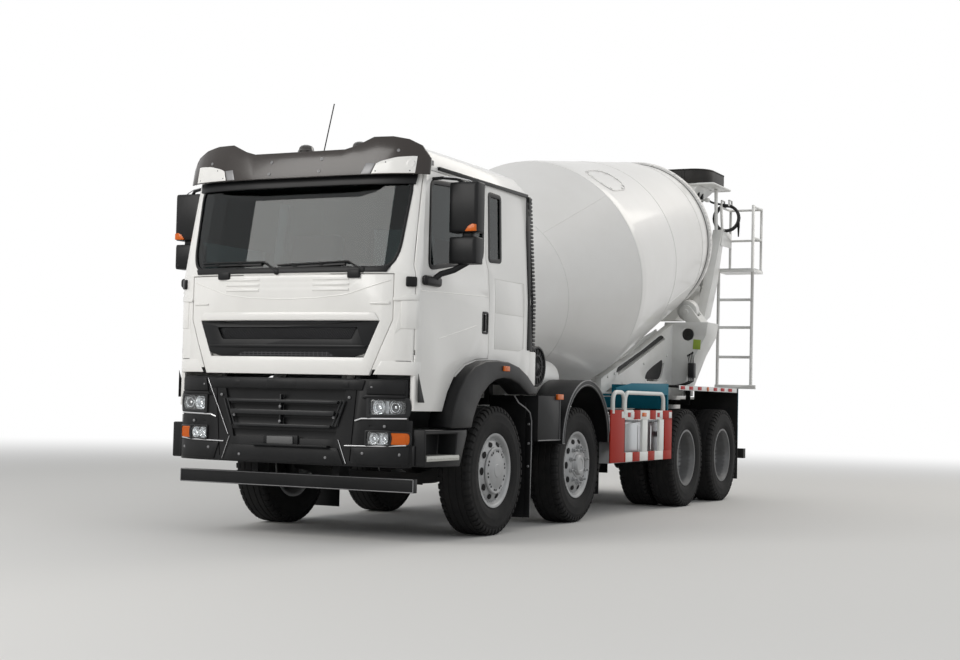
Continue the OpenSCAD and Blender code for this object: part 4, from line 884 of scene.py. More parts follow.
def bumper_slats():
    """the middle's slats with their slanted ends"""
    parts = []
    for low, high, half in ((0.98, 1.018, 0.47), (0.885, 0.908, 0.44), (1.075, 1.098, 0.5)):
        strip = sheet_on_bumper([(-half, low), (half, low)],
                                [(-half - 0.012, high), (half + 0.012, high)], 0.004, 0.03, 12)
        parts.append(rounded(strip, 0.004))
    for side in (-1, 1):
        for shift in (0, 0.03):
            top = (side * (0.56 - shift), bumper_y(0.5, out=0.012), 1.10)
            foot = (side * (0.485 - shift), bumper_y(0.45, out=0.012), 0.90)
            parts.append(tube([top, foot], 0.008, 8))
    parts.append(block((-0.026, BUMPER_MID - 0.02, 0.88), (-0.014, BUMPER_MID + 0.02, 1.14), 0.002))
    return done("bumper_slats", parts, "chassis", SLAT_GREY)


def bumper_trim():
    """bright lines along the shut lines and under the lamps; the single line on the truck's right side is a
    painted highlight where light catches a shut line's edge
    """

    def line(points, radius):
        return tube([(x, bumper_y(x, z, 0.008), z) for x, z in stepped(points, 8)], radius, 6)

    under_head = line([(0.645, 0.95), (0.70, 0.968), (1.045, 0.975)], 0.006)
    right_shut_line_highlight = line([(0.742, 1.258), (0.62, 1.02), (0.52, 0.815)], 0.003)
    foot_line = line([(0.505, 0.80), (0.575, 0.62)], 0.003)
    low_line = line([(0.562, 0.757), (0.9, 0.762), (1.05, 0.772)], 0.005)
    # only on the truck's right side, toward the key lamp: a painted highlight on the shut line's edge
    right_shut_line_highlight.data.transform(MIRROR)
    right_shut_line_highlight.data.flip_normals()
    return done("bumper_trim_and_highlight_lines", [right_shut_line_highlight, both_sides(under_head, foot_line, low_line)], "chassis",
                TRIM_BRIGHT)


def bumper_bolts():
    bolt = turned([(0.006, 0), (0.006, 0.004), (0.005, 0.006), (0.003, 0.007), (0.003, 0.011), (0, 0.011),
                   (-0.006, 0.011), (-0.006, 0)], steps=12)
    places = [(0.593, 1.128), (0.462, 0.97), (0.40, 0.66), (0.715, 0.704), (0.886, 0.913),
              (0.775, 1.21), (1.0, 0.70)]
    out = facing((0, 0, 0), (0, -1, 0))
    frames = [Matrix.Translation((side * x, bumper_y(x, z, 0.01), z)) @ out
              for x, z in places for side in (-1, 1)]
    frames += [Matrix.Translation((-0.02, BUMPER_MID - 0.02, z)) @ out for z in (0.93, 1.045)]
    return done("bumper_bolts", [copies(bolt, frames)], "chassis", TRIM_GREY)


def lamp_loop(x0, x1, z0, z1, cut):
    return rounded_loop([(x0, z0), (x1, z0 + cut), (x1 + 0.012, (z0 + z1) / 2), (x1, z1 - cut),
                         (x0, z1)], 0.014, 3)


def head_lamps():
    """bezels, reflector bowls, bulbs and clear covers; an amber cover on each turn lamp"""
    head, fog = lamp_loop(0.77, 1.034, 1.0, 1.115, 0.008), lamp_loop(0.746, 0.92, 0.773, 0.867, 0.0)
    amber = lamp_loop(0.928, 1.06, 0.775, 0.865, 0.002)
    bezels = []
    for loop, width in ((head, 0.03), (fog, 0.014), (amber, 0.012)):
        bezels.append(rounded(nose_band(grown(loop, width), grown(loop, 0.001), -0.002, 0.016,
                                        bumper_y), 0.004))
    done("lamp_frames", [both_sides(*bezels)], "chassis", SLAT_GREY)
    bowl = turned([(0.002, 0.05), (-0.004, 0.052), (-0.03, 0.04), (-0.045, 0.02), (-0.05, 0), (-0.046, 0),
                   (-0.041, 0.018), (-0.027, 0.036), (0.0, 0.046)], steps=32)
    bulb = turned([(-0.046, 0), (-0.046, 0.008), (-0.02, 0.008), (-0.012, 0.012), (-0.004, 0.009),
                   (0, 0)], steps=16)
    ring = turned([(0.004, 0.03), (0.006, 0.034), (0.003, 0.037), (-0.002, 0.036), (-0.002, 0.031)], steps=28)
    one = joined([bowl, bulb, ring])
    ahead = facing((0, 0, 0), (0, -1, 0))
    places = [(0.832, 1.058, 1.04), (0.955, 1.058, 1.04), (0.795, 0.82, 0.78), (0.876, 0.82, 0.74),
              (0.992, 0.82, 0.76)]
    frames = [Matrix.Translation((side * x, bumper_y(x, z, -0.016), z)) @ ahead @ Matrix.Scale(k, 4)
              for x, z, k in places for side in (-1, 1)]
    done("lamp_reflectors", [copies(one, frames)], "chassis", CHROME)
    backs = [sheet_on_bumper([(0.765, 0.998), (1.045, 0.998)], [(0.765, 1.117), (1.045, 1.117)], -0.045,
                             0.004, 8, 2), sheet_on_bumper([(0.742, 0.77), (1.07, 0.77)],
                                                           [(0.742, 0.87), (1.07, 0.87)],
                                                           -0.042, 0.004, 8, 2)]
    done("lamp_housings", [both_sides(*backs)], "chassis", LAMP_SILVER)

    def cover(loop):
        xs = [p[0] for p in loop]
        zs = [p[1] for p in loop]
        strip = sheet_on_bumper([(min(xs), min(zs)), (max(xs) - 0.006, min(zs))],
                                [(min(xs), max(zs)), (max(xs) - 0.006, max(zs))], 0.001, 0.005, 14, 2)
        return rounded(strip, 0.002)

    clear = done("lamp_covers", [both_sides(cover(head), cover(fog))], "chassis", LAMP_GLASS)
    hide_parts("front_lamps")
    ribs = []
    for k in range(11):
        x0, x1 = 0.935 + 0.012 * k, 0.939 + 0.012 * k
        ribs.append(sheet_on_bumper([(x0, 0.782), (x1, 0.782)], [(x0, 0.858), (x1, 0.858)], 0.006, 0.002, 1))
    return done("turn_lamp_covers", [both_sides(cover(amber), *ribs)], "chassis", AMBER)


def number_plate():
    plate = block((-0.13, BUMPER_MID - 0.03, 0.752), (0.11, BUMPER_MID - 0.018, 0.812), 0.004)
    return done("number_plate_blank", [plate], "chassis", PLATE_GREY)


def lower_bar():
    """bright edge under the bar across the front, and the lines along its top and up its ends"""
    edge = tube([(-1.084, -1.373, 0.413), (1.084, -1.373, 0.413)], 0.004, 6)
    upper = tube([(-1.084, -1.373, 0.511), (1.084, -1.373, 0.511)], 0.0035, 6)
    ends = [tube([(s * 1.086, -1.371, 0.413), (s * 1.086, -1.371, 0.511)], 0.004, 6) for s in (-1, 1)]
    return done("lower_bar_edges", [edge, upper] + ends, "chassis", TRIM_GREY)


# ---------------------------------------------------------------- cab sides
CAB_SIDE = 1.12


def side_x(z):
    """how far out the cab's side stands at a height"""
    return between([(1.0, CAB_SIDE), (2.0, CAB_SIDE), (2.95, 1.06), (3.07, 1.0)], z)


def leaned(obj):
    """an upright piece leaned inwards with the cab's side"""
    for vert in obj.data.vertices:
        vert.co.x += side_x(vert.co.z) - CAB_SIDE
    return obj


def side_band(outer, inner, out, thick):
    """closed band on the cab's left side between two loops of (y, z) points"""
    return closed_band(outer, inner, lambda y, z: (side_x(z) + out + thick, y, z), thick, Vector((1, 0, 0)))


def inset(loop, by):
    """a loop of points moved in along its corners' bisectors"""
    out = []
    area = sum(a[0] * b[1] - b[0] * a[1] for a, b in zip(loop, loop[1:] + loop[:1]))
    turn = 1 if area > 0 else -1
    for i, point in enumerate(loop):
        here = Vector(point)
        before, after = here - Vector(loop[i - 1]), Vector(loop[(i + 1) % len(loop)]) - here
        normals = [Vector((-v.y, v.x)).normalized() * turn for v in (before, after) if v.length > 1e-9]
        middle = sum(normals, Vector((0, 0)))
        middle.normalize()
        out.append(tuple(here + middle * by / max(0.5, middle.dot(normals[0]))))
    return out


DOOR_WINDOW = [(-1.245, 2.16), (-1.2, 2.145), (-0.33, 2.28), (-0.285, 2.33), (-0.225, 2.86), (-0.26, 2.88),
               (-1.14, 2.83), (-1.17, 2.8)]
SLIM_WINDOW = [(-0.165, 2.295), (0.06, 2.305), (0.095, 2.86), (-0.13, 2.865)]


def side_seal(corners, radius):
    loop = rounded_loop(corners, radius, 3)
    return rounded(side_band(inset(loop, -0.016), inset(loop, 0.02), -0.004, 0.008), 0.002)


def door_seal():
    return side_seal(DOOR_WINDOW, 0.05)


def on_each_door(name, make, material):
    """the same piece on both doors"""
    for side in ("left", "right"):
        obj = make()
        if side == "right":
            obj = copies(obj, [MIRROR])
        done(f"{name}_{side}", [obj], f"door_{side}", material)


def crease(points, radius=0.0035):
    """a fine raised crease along the side panel"""
    return tube([(side_x(z) - radius * 0.35, y, z) for y, z in stepped(points, 6)], radius, 8)


def door_creases():
    return joined([crease([(-1.07, 1.602), (-0.40, 1.74)]), crease([(-1.37, 1.958), (-0.20, 1.99)])])


def door_handle():
    """recessed tray with its pull bar"""
    x = side_x(1.77)
    loop = rounded_loop([(-0.302, 1.683), (-0.198, 1.683), (-0.198, 1.857), (-0.302, 1.857)], 0.02, 3)
    rim = rounded(side_band(inset(loop, -0.006), inset(loop, 0.012), -0.006, 0.009), 0.002)
    tray = block((x - 0.023, -0.298, 1.688), (x - 0.018, -0.202, 1.852), 0.001)
    grip = block((x - 0.015, -0.262, 1.70), (x + 0.004, -0.238, 1.84), 0.005)
    lock = turned([(0.004, 0), (0.004, 0.008), (0, 0.011), (-0.01, 0.011), (-0.01, 0)],
                  facing((x - 0.012, -0.282, 1.80), (1, 0, 0)), 16)
    return joined([rim, tray, grip, lock])


def mirror_shell():
    """two housings on bent arms, each swelling forward and flat behind"""
    parts = []
    # [x from, x to, z from, z to]
    for x0, x1, z0, z1 in ((1.19, 1.437, 2.43, 2.825), (1.195, 1.43, 2.185, 2.395)):
        shell = block((x0, -1.085, z0), (x1, -0.955, z1), 0.0)
        pick(shell)
        bpy.ops.object.mode_set(mode="EDIT")
        bpy.ops.mesh.select_all(action="DESELECT")
        bpy.ops.object.mode_set(mode="OBJECT")
        front = min(shell.data.polygons, key=lambda face: face.center.y)
        front.select = True
        bpy.ops.object.mode_set(mode="EDIT")
        bpy.ops.mesh.inset(thickness=0.03)
        bpy.ops.transform.translate(value=(0.012, -0.012, 0))
        bpy.ops.object.mode_set(mode="OBJECT")
        parts.append(rounded(shell, 0.026, 4))
    joint_low = block((1.285, -1.045, 2.38), (1.375, -0.98, 2.45), 0.015, 3)
    foot = block((1.108, -1.365, 2.0), (1.16, -1.10, 2.078), 0.024, 4)
    arm = tube([(1.14, -1.2, 2.062), (1.17, -1.16, 2.10), (1.24, -1.08, 2.135),
                (1.33, -1.02, 2.20)], 0.024, 12)
    top = tube([(1.04, -1.14, 2.848), (1.15, -1.12, 2.856), (1.25, -1.08, 2.848),
                (1.33, -1.03, 2.80)], 0.013, 10)
    return joined(parts + [joint_low, foot, arm, top])


def mirror_glass():
    big = block((1.21, -0.956, 2.455), (1.42, -0.950, 2.80), 0.002)
    small = block((1.215, -0.956, 2.205), (1.415, -0.950, 2.375), 0.002)
    return joined([big, small])


def mirror_marker():
    """orange repeater low on the big housing's outer corner"""
    return rounded(slab([(1.335, 2.436), (1.432, 2.436), (1.432, 2.488), (1.40, 2.494), (1.365, 2.478)], 1,
                        -1.10, -1.075), 0.004)


def mirror_band():
    """bright edge line round the top arm's cap"""
    return tube([(1.16, -1.135, 2.862), (1.25, -1.095, 2.858), (1.34, -1.05, 2.838), (1.41, -1.03, 2.80),
                 (1.432, -1.03, 2.72)], 0.005, 8)


# [piece, how it is made, finish, slot] of what each door carries
DOOR_PIECES = [
    ("door_seal", door_seal, BLACK_PLASTIC, "black_plastic"),
    ("door_crease", door_creases, CAB_WHITE, "cab_white"),
    ("door_corner_trim", door_corner, BLACK_PLASTIC, "black_plastic"),
    ("door_handle", door_handle, BLACK_PLASTIC, "black_plastic"),
    ("mirror_shells", mirror_shell, BLACK_PLASTIC, "black_plastic"),
    ("mirror_glasses", mirror_glass, CHROME, "glass"),
    ("mirror_markers", mirror_marker, AMBER, "lamp_glass"),
    ("mirror_bright_lines", mirror_band, TRIM_BRIGHT, "black_plastic"),
]


def steps_and_arch():
    """bright tread on the step, orange marker on the arch, and the lines below it"""
    tread = block((1.172, -1.343, 0.652), (1.188, -0.80, 0.69), 0.003)
    top = block((1.02, -1.343, 0.686), (1.184, -0.80, 0.694), 0.003)
    bumps = copies(block((-0.006, -0.02, -0.004), (0.002, 0.02, 0.004), 0.002),
                   [Matrix.Translation((1.19, -1.31 + 0.052 * k, 0.671)) for k in range(10)])
    done("step_treads", [both_sides(tread, top, bumps)], "chassis", TREAD_SILVER)
    lamp = block((1.21, -0.085, 1.376), (1.228, 0.032, 1.42), 0.006, 3)
    done("arch_markers", [both_sides(lamp)], "cab", AMBER)
    box_lamp = block((1.19, 1.10, 1.150), (1.214, 1.235, 1.2), 0.006, 3)
    done("box_markers", [both_sides(box_lamp)], "chassis", AMBER)
    edge = tube([(1.197, 0.71, 0.786), (1.197, 1.22, 0.786)], 0.005, 8)
    rise = tube([(1.197, 1.195, 0.79), (1.197, 1.195, 1.15)], 0.003, 6)
    ring = [(1.222, y, z) for y, z in arc((AXLES[1], 0.75), 0.587, 0, 180, 40)]
    inner = [(1.221, y, z) for y, z in arc((AXLES[1], 0.75), 0.548, 0, 180, 40)]
    base = tube([(1.222, AXLES[1] - 0.587, 0.752), (1.222, AXLES[1] - 0.545, 0.752)], 0.004, 6)
    done("fender_edges", [both_sides(edge, rise, tube(ring, 0.006, 8), tube(inner, 0.003, 6), base)],
         "chassis", TRIM_GREY)
    flap = [(1.10, 0.40, 1.18), (1.12, 0.45, 1.115), (1.14, 0.56, 1.07), (1.15, 0.63, 1.03),
            (1.155, 0.655, 0.96), (1.155, 0.662, 0.70), (1.15, 0.665, 0.45), (1.145, 0.668, 0.115)]
    line = tube(flap, 0.006, 8)
    studs = copies(turned([(0.006, 0), (0.005, 0.008), (0, 0.012), (-0.004, 0.012), (-0.004, 0)], steps=12),
                   [facing((1.13, 0.652, z), (0, -1, 0)) for z in (0.93, 0.76, 0.56)])
    done("mudflap_edges", [both_sides(line, studs)], "chassis", TRIM_GREY)
    sheet = block((1.085, 0.656, 0.112), (1.152, 0.666, 0.99), 0.003)
    return done("mudflap_margins", [both_sides(sheet)], "chassis", BLACK_PLASTIC)


INTAKE = (1.03, 1.005, 1.446)


def intake_wheel():
    """the air filter's round cover behind the cab, spoked, and the neck that joins it to the intake"""
    where = facing(INTAKE, (1, 0, 0))
    ring = turned([(-0.03, 0), (-0.03, 0.176), (-0.015, 0.184), (0.012, 0.184), (0.02, 0.178), (0.02, 0.164),
                   (0.006, 0.158), (0.006, 0)], where, 44)
    inner = turned([(0.002, 0.09), (0.014, 0.092), (0.016, 0.1), (0.014, 0.108), (0.002, 0.11)], where, 36)
    hub = turned([(0, 0), (0, 0.034), (0.014, 0.03), (0.018, 0.016), (0.018, 0)], where, 20)
    spokes = copies(block((0, -0.004, 0.02), (0.013, 0.004, 0.162), 0.002),
                    [Matrix.Translation(INTAKE) @ Matrix.Rotation(2 * pi * k / 16, 4, "X")
                     for k in range(16)])
    neck = turned([(-0.07, 0), (-0.07, 0.075), (-0.02, 0.08), (-0.02, 0)],
                  facing((INTAKE[0], 0.895, INTAKE[2]), (1, 0, 0)), 24)
    return done("intake_face", [ring, inner, hub, spokes, neck], "chassis", BLACK_PLASTIC)


def rear_fittings():
    """corrugated duct down the cab's rear corner, and the white panel below it"""
    duct = leaned(slab([(0.664, 1.585), (0.735, 1.585), (0.735, 2.93), (0.664, 2.93)], 0, 1.015, 1.045))
    rib = block((-0.04, -0.056, -0.013), (0.054, 0.05, 0.013), 0.009, 2)
    ribs = copies(rib, [Matrix.Translation((side_x(z) - 0.05, 0.722, z))
                        for z in [1.6 + 0.034 * k for k in range(40)]])
    cover = leaned(slab([(0.60, 1.575), (0.70, 1.575), (0.70, 2.0), (0.69, 2.6), (0.68, 2.93), (0.645, 2.93),
                         (0.61, 2.6), (0.60, 2.0)], 0, 1.108, 1.1285, 0.002))
    done("corner_duct", [both_sides(duct, ribs, cover)], "cab", BLACK_PLASTIC)
    panel = block((1.064, 0.64, 1.265), (1.1185, 0.80, 1.568), 0.012, 3)
    return done("rear_corner_panel", [both_sides(panel)], "cab", CAB_WHITE)


# ---------------------------------------------------------------- side guards
def side_guards():
    """guard plates, rails in red and white blocks, white posts and hoops"""
    near, far = 1.205, 1.235
    # [y from, y to, z from, z to, inner face] by colour
    red = [(2.372, 2.76, 0.545, 1.065, 1.222), (2.76, 2.80, 0.545, 0.64, near),
           (3.02, 3.21, 0.97, 1.065, near), (3.50, 3.68, 0.97, 1.065, near), (3.90, 4.198, 0.97, 1.065, near),
           (3.0, 3.21, 0.545, 0.64, near), (3.46, 3.66, 0.545, 0.64, near), (3.93, 4.198, 0.545, 0.64, near),
           (3.965, 4.198, 0.64, 0.97, 1.22)]
    white = [(2.76, 3.02, 0.97, 1.065, near), (3.21, 3.50, 0.97, 1.065, near),
             (3.68, 3.90, 0.97, 1.065, near), (2.80, 3.0, 0.545, 0.64, near), (3.21, 3.46, 0.545, 0.64, near),
             (3.66, 3.93, 0.545, 0.64, near), (3.28, 3.435, 0.64, 0.97, 1.208),
             (3.80, 3.94, 0.64, 0.97, 1.208)]

    def plates(table, proud):
        return [block((b[4], b[0] + 0.0006, b[2]), (far + proud, b[1] - 0.0006, b[3]), 0.004) for b in table]

    done("guard_red_plates", [both_sides(*plates(red, 0.001))], "chassis", RED)
    hoops = []
    for y0, y1, x in ((2.43, 2.74, 1.229), (2.80, 3.96, 1.215)):
        path = [(x, y0, 1.03), (x, y0, 1.15)] + [(x, y, z) for y,
                                                 z in arc((y0 + 0.09, 1.15), 0.09, 180, 90, 8)]
        path += [(x, y, z) for y, z in arc((y1 - 0.09, 1.15), 0.09, 90, 0, 8)] + [(x, y1, 1.03)]
        hoops.append(tube(path, 0.021, 14))
    shown = done("guard_white_parts", [both_sides(*plates(white, 0.0), *hoops)], "chassis",
                 GUARD_WHITE)
    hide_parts("side_guards")
    arms = [block((0.43, y, 0.78), (1.206, y + 0.04, 0.84), 0.004) for y in (2.812, 4.14)]
    arms += [block((1.195, y, 0.62), (1.206, y + 0.04, 1.0), 0.002) for y in (2.812, 4.14)]
    done("guard_arms", [both_sides(*arms)], "chassis", CHASSIS_BLACK)
    marker = block((1.232, 3.26, 1.0), (1.246, 3.37, 1.04), 0.005, 3)
    done("guard_markers", [both_sides(marker)], "chassis", AMBER)
    tapes = [block((1.235, y, 0.985), (1.2385, y + 0.09, 1.05), 0.001) for y in (2.665, 2.93, 3.795, 4.09)]
    return done("guard_reflectors", [both_sides(*tapes)], "chassis", REFLECT_SILVER)


def guard_squares():
    squares = [block((1.2365, y, 0.995), (1.2405, y + 0.07, 1.04), 0.001) for y in (2.84, 3.72)]
    return done("guard_red_squares", [both_sides(*squares)], "chassis", TAPE_RED)


def tank_details():
    """bands and caps on the tanks behind the guard"""
    bands = []
    for y in (3.0, 3.45, 3.85):
        loop = [(0.62, 0.6), (0.7, 0.52), (1.04, 0.52), (1.12, 0.6), (1.12, 0.92), (1.04, 1.0),
                (0.7, 1.0), (0.62, 0.92)]
        path = rounded_loop(loop, 0.04, 3)
        band = tube([(x, y, z) for x, z in path], 0.006, 6, closed=True)
        bands.append(band)
    cap = turned([(0, 0), (0, 0.05), (0.03, 0.05), (0.036, 0.044), (0.036, 0)],
                 facing((0.86, 3.15, 0.998), (0, 0, 1)), 24)
    return done("tank_bands", [both_sides(*bands), cap], "chassis", CHROME)


def deck_strip():
    """reflecting strip along the deck's edge: six red squares and a lamp"""
    strip = block((1.2205, 4.45, 1.292), (1.2245, 6.64, 1.344), 0.001)
    done("deck_strip", [both_sides(strip)], "chassis", REFLECT_SILVER)
    edge = block((1.2205, 6.703, 0.72), (1.2235, 6.716, 1.34), 0.001)
    done("deck_end_edges", [both_sides(edge)], "chassis", TEAL)
    squares = [block((1.224, a, 1.300), (1.2275, b, 1.338), 0.001) for a,
               b in ((4.506, 4.649), (4.80, 4.935), (5.11, 5.245), (5.705, 5.838),
                     (5.988, 6.128), (6.295, 6.437))]
    done("deck_red_squares", [both_sides(*squares)], "chassis", TAPE_RED)
    lamp = turned([(0, 0), (0, 0.026), (0.006, 0.026), (0.012, 0.02), (0.014, 0)],
                  facing((1.224, 5.48, 1.319), (1, 0, 0)), 24)
    return done("deck_markers", [both_sides(lamp)], "chassis", AMBER)


# ---------------------------------------------------------------- wheels
STEER_MID, TWIN_OUT, TWIN_IN = 0.992, 1.074, 0.736


def wheel_frames(axle, side, middles):
    """the frames of the wheels at an axle's end, outer face toward +X before the mirror"""
    flip = MIRROR if side == "right" else AS_IS
    return [flip @ Matrix.Translation((x, AXLES[axle - 1], TYRE_R)) for x in middles]


def one_tyre():
    """casing with its fine rings, ribs round the tread and lugs on both shoulders"""
    top = TYRE_R - 0.0008
    half = [(0.117, 0.2905), (0.12, 0.312), (0.131, 0.330), (0.1405, 0.352), (0.1455, 0.372), (0.1485, 0.398),
            (0.1495, 0.402), (0.1495, 0.408), (0.1488, 0.412), (0.1488, 0.44), (0.1470, 0.462),
            (0.1475, 0.466), (0.1455, 0.47), (0.140, 0.495), (0.131, 0.515), (0.118, 0.528), (0.09, 0.5335),
            (0.045, 0.536), (0.0, 0.5365)]
    outline = [(-a, r) for a, r in half] + half[-2::-1]
    casing = turned(outline, steps=88)
    ribs = []
    for a, b in ((-0.082, -0.038), (-0.029, 0.029), (0.038, 0.082)):
        ribs.append(turned([(a, 0.530), (a, top - 0.002), (a + 0.003, top), (b - 0.003, top),
                            (b, top - 0.002), (b, 0.530)], steps=88))
    lug = slab([(0.09, 0.53), (0.09, top), (0.126, top - 0.003), (0.1425, 0.519), (0.1465, 0.492),
                (0.139, 0.490), (0.122, 0.515)], 2, -0.021, 0.021, 0.0025, 1)
    count = 52
    lugs = copies(lug, [Matrix.Scale(s, 4, (1, 0, 0)) @ Matrix.Rotation(2 * pi * (k + (s > 0) / 2) / count, 4,
                                                                        "X") for k in range(count)
                        for s in (-1, 1)])
    return joined([casing] + ribs + [lugs])


def tyres():
    model = one_tyre()
    for axle, side in STEERED + DRIVEN:
        middles = [STEER_MID] if axle < 3 else [TWIN_OUT, TWIN_IN]
        made = done(f"tyre_tread_{axle}_{side}", [copies(own_copy(model), wheel_frames(axle, side, middles))],
                    f"wheel_{axle}_{side}", RUBBER, 30)
        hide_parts(tyre_node(axle, side))
    bpy.data.objects.remove(model)


def around(obj, count, radius, start=0.0, lean=0.0, x=0.0):
    """copies round a wheel's axis; a lean turns each toward the rim"""
    return copies(obj, [Matrix.Rotation(2 * pi * k / count + start, 4, "X")
                        @ Matrix.Translation((x, radius, 0)) @ Matrix.Rotation(lean, 4, "Z")
                        for k in range(count)])


def nut():
    return turned([(-0.01, 0), (-0.01, 0.024), (0.002, 0.024), (0.004, 0.018), (0.022, 0.0165),
                   (0.025, 0.012), (0.025, 0.009), (0.05, 0.009), (0.052, 0.006), (0.052, 0)], steps=6)


def wheel_faces():
    """nut covers on the first axle, hubs and studs on the others, and dark ovals painted on the rims as the
    shade seen through the hand holes
    """
    for axle, side in STEERED + DRIVEN:
        body = f"wheel_{axle}_{side}"
        if axle < 3:
            # a thin dark oval on the rim for each hand hole: painted shade of the dark seen through the hole;
            # the first axle's dark dots join it
            pocket = turned([(0.0015, 0), (0.0015, 0.92), (0.0, 1.0), (-0.002, 1.0), (-0.002, 0)], steps=20)
            pocket.data.transform(Matrix.Diagonal((1, 0.021, 0.033, 1)))
            hole_shades = around(pocket, 10, 0.2275, 0, 0.35, 0.118)
            dots = None
            if axle == 1:
                cover = turned([(0.128, 0), (0.128, 0.198), (0.136, 0.198), (0.144, 0.192), (0.146, 0.184),
                                (0.143, 0.178), (0.146, 0.135), (0.152, 0.126), (0.153, 0.0)], steps=60)
                boss = turned([(0.15, 0), (0.15, 0.06), (0.157, 0.054), (0.159, 0.03), (0.156, 0)], steps=36)
                dot = turned([(0.1465, 0), (0.1465, 0.0085), (0.144, 0.0105), (0.142, 0.0105),
                              (0.142, 0)], steps=12)
                dots = joined([around(own_copy(dot), 10, 0.162, 0.12), around(dot, 10, 0.162, 0.31)])
                face = joined([cover, boss])
            else:
                hub = turned([(0.1, 0), (0.1, 0.118), (0.134, 0.118), (0.14, 0.112), (0.14, 0.1),
                              (0.165, 0.092), (0.172, 0.084), (0.172, 0.06), (0.166, 0.052),
                              (0.166, 0)], steps=48)
                face = joined([hub, around(nut(), 10, 0.1675, 0.31, 0, 0.136)])
            frames = wheel_frames(axle, side, [STEER_MID])
            done(f"wheel_face_{axle}_{side}", [copies(face, frames)], body, RIM_SILVER)
            dark = joined([hole_shades, dots])
            done(f"hand_hole_shades_{axle}_{side}", [copies(dark, frames)], body, RUBBER)
        else:
            cap = turned([(0.0, 0), (0.0, 0.128), (0.004, 0.126), (0.012, 0.112), (0.016, 0.09),
                          (0.03, 0.084), (0.034, 0.06), (0.034, 0)], steps=40)
            nuts = around(nut(), 10, 0.1775, 0.2, 0, -0.062)
            frames = wheel_frames(axle, side, [1.0565])
            done(f"hub_cap_{axle}_{side}", [copies(joined([cap, nuts]), frames)], body, RIM_GREY)


# ---------------------------------------------------------------- drum
DRUM_BASE, DRUM_TILT = Vector((0, 2.12, 2.192)), radians(13.1)
DRUM_LINE = [(-0.88, 0.6), (0, 0.868), (1.075, 1.235), (1.25, 1.232), (3.85, 1.004),
             (4.25, 0.945), (4.94, 0.6)]


def on_drum(s, angle, out=0.0):
    """the drum's surface at a distance along its axis and an angle from its top toward the truck's left"""
    radius = between(DRUM_LINE, s) + out
    along, up = Vector((0, cos(DRUM_TILT), sin(DRUM_TILT))), Vector((0, -sin(DRUM_TILT), cos(DRUM_TILT)))
    return DRUM_BASE + along * s + Vector((1, 0, 0)) * radius * sin(angle) + up * radius * cos(angle)


def drum_seams():
    """weld seams round and along the drum, and a dark bead at its end painted as the shadow line of the gap
    there
    """
    rings = [tube([on_drum(s, 2 * pi * k / 96, -0.0015) for k in range(96)], 0.005, 6, closed=True)
             for s in (0.0, 1.078, 2.52, 3.85)]
    lines = []
    for s0, s1, degrees in ((0.0, 1.078, 46.8), (1.25, 2.52, 212), (2.52, 3.85, 118), (0.0, 1.078, 226),
                            (-0.88, 0.0, 140)):
        lines.append(tube([on_drum(s0 + (s1 - s0) * k / 10, radians(degrees), -0.0015)
                           for k in range(11)], 0.004, 6))
    # dark ring where the drum's end cone begins: painted shadow of the gap at the drum's end
    end = tube([on_drum(4.25, 2 * pi * k / 96, -0.002) for k in range(96)], 0.009, 8, closed=True)
    done("drum_end_shadow_line", [end], "drum", CAST)
    return done("drum_weld_seams", rings + lines, "drum", DRUM_WHITE)


def manhole_bolts():
    """bolts round the manhole's cover, and its rim"""
    middle_s, middle_a, half = 1.60, radians(36), 0.15

    def place(ds, across, out):
        return on_drum(middle_s + ds, middle_a + across / 1.21, out)

    def oval(radius, steps):
        ahead, behind = arc((half, 0), radius, -90, 90, steps), arc((-half, 0), radius, 90, 270, steps)
        return ahead + behind

    bolt = turned([(0.008, 0), (0.008, 0.011), (0.005, 0.013), (0, 0.016), (-0.01, 0.016),
                   (-0.01, 0)], steps=6)
    axis = Vector((0, cos(DRUM_TILT), sin(DRUM_TILT)))
    frames = []
    for ds, across in oval(0.17, 8)[::2]:
        p = place(ds, across, 0.006)
        frames.append(facing(p, p - (DRUM_BASE + axis * (p - DRUM_BASE).dot(axis))))
    rim = tube([place(ds, across, 0.004) for ds, across in oval(0.19, 14)], 0.005, 6, closed=True)
    return done("manhole_bolts", [copies(bolt, frames), rim], "drum", DRUM_WHITE)


def drum_blades():
    """two spiral blades that show in the mouth"""
    parts = []
    for start in (0, pi):
        deselect()
        bpy.ops.mesh.primitive_grid_add(x_subdivisions=60, y_subdivisions=2, size=2)
        strip = bpy.context.object
        for vert in strip.data.vertices:
            t, deep = (vert.co.x + 1) / 2, (vert.co.y + 1) / 2
            s = 2.9 + 1.95 * t
            vert.co = on_drum(s, start + t * 3.1 * pi, -0.02 - 0.26 * deep * (1 - 0.25 * t))
        parts.append(apply_modifier(strip, "SOLIDIFY", thickness=0.008, offset=0))
    return done("drum_blades", parts, "drum", BLADE_GREY)


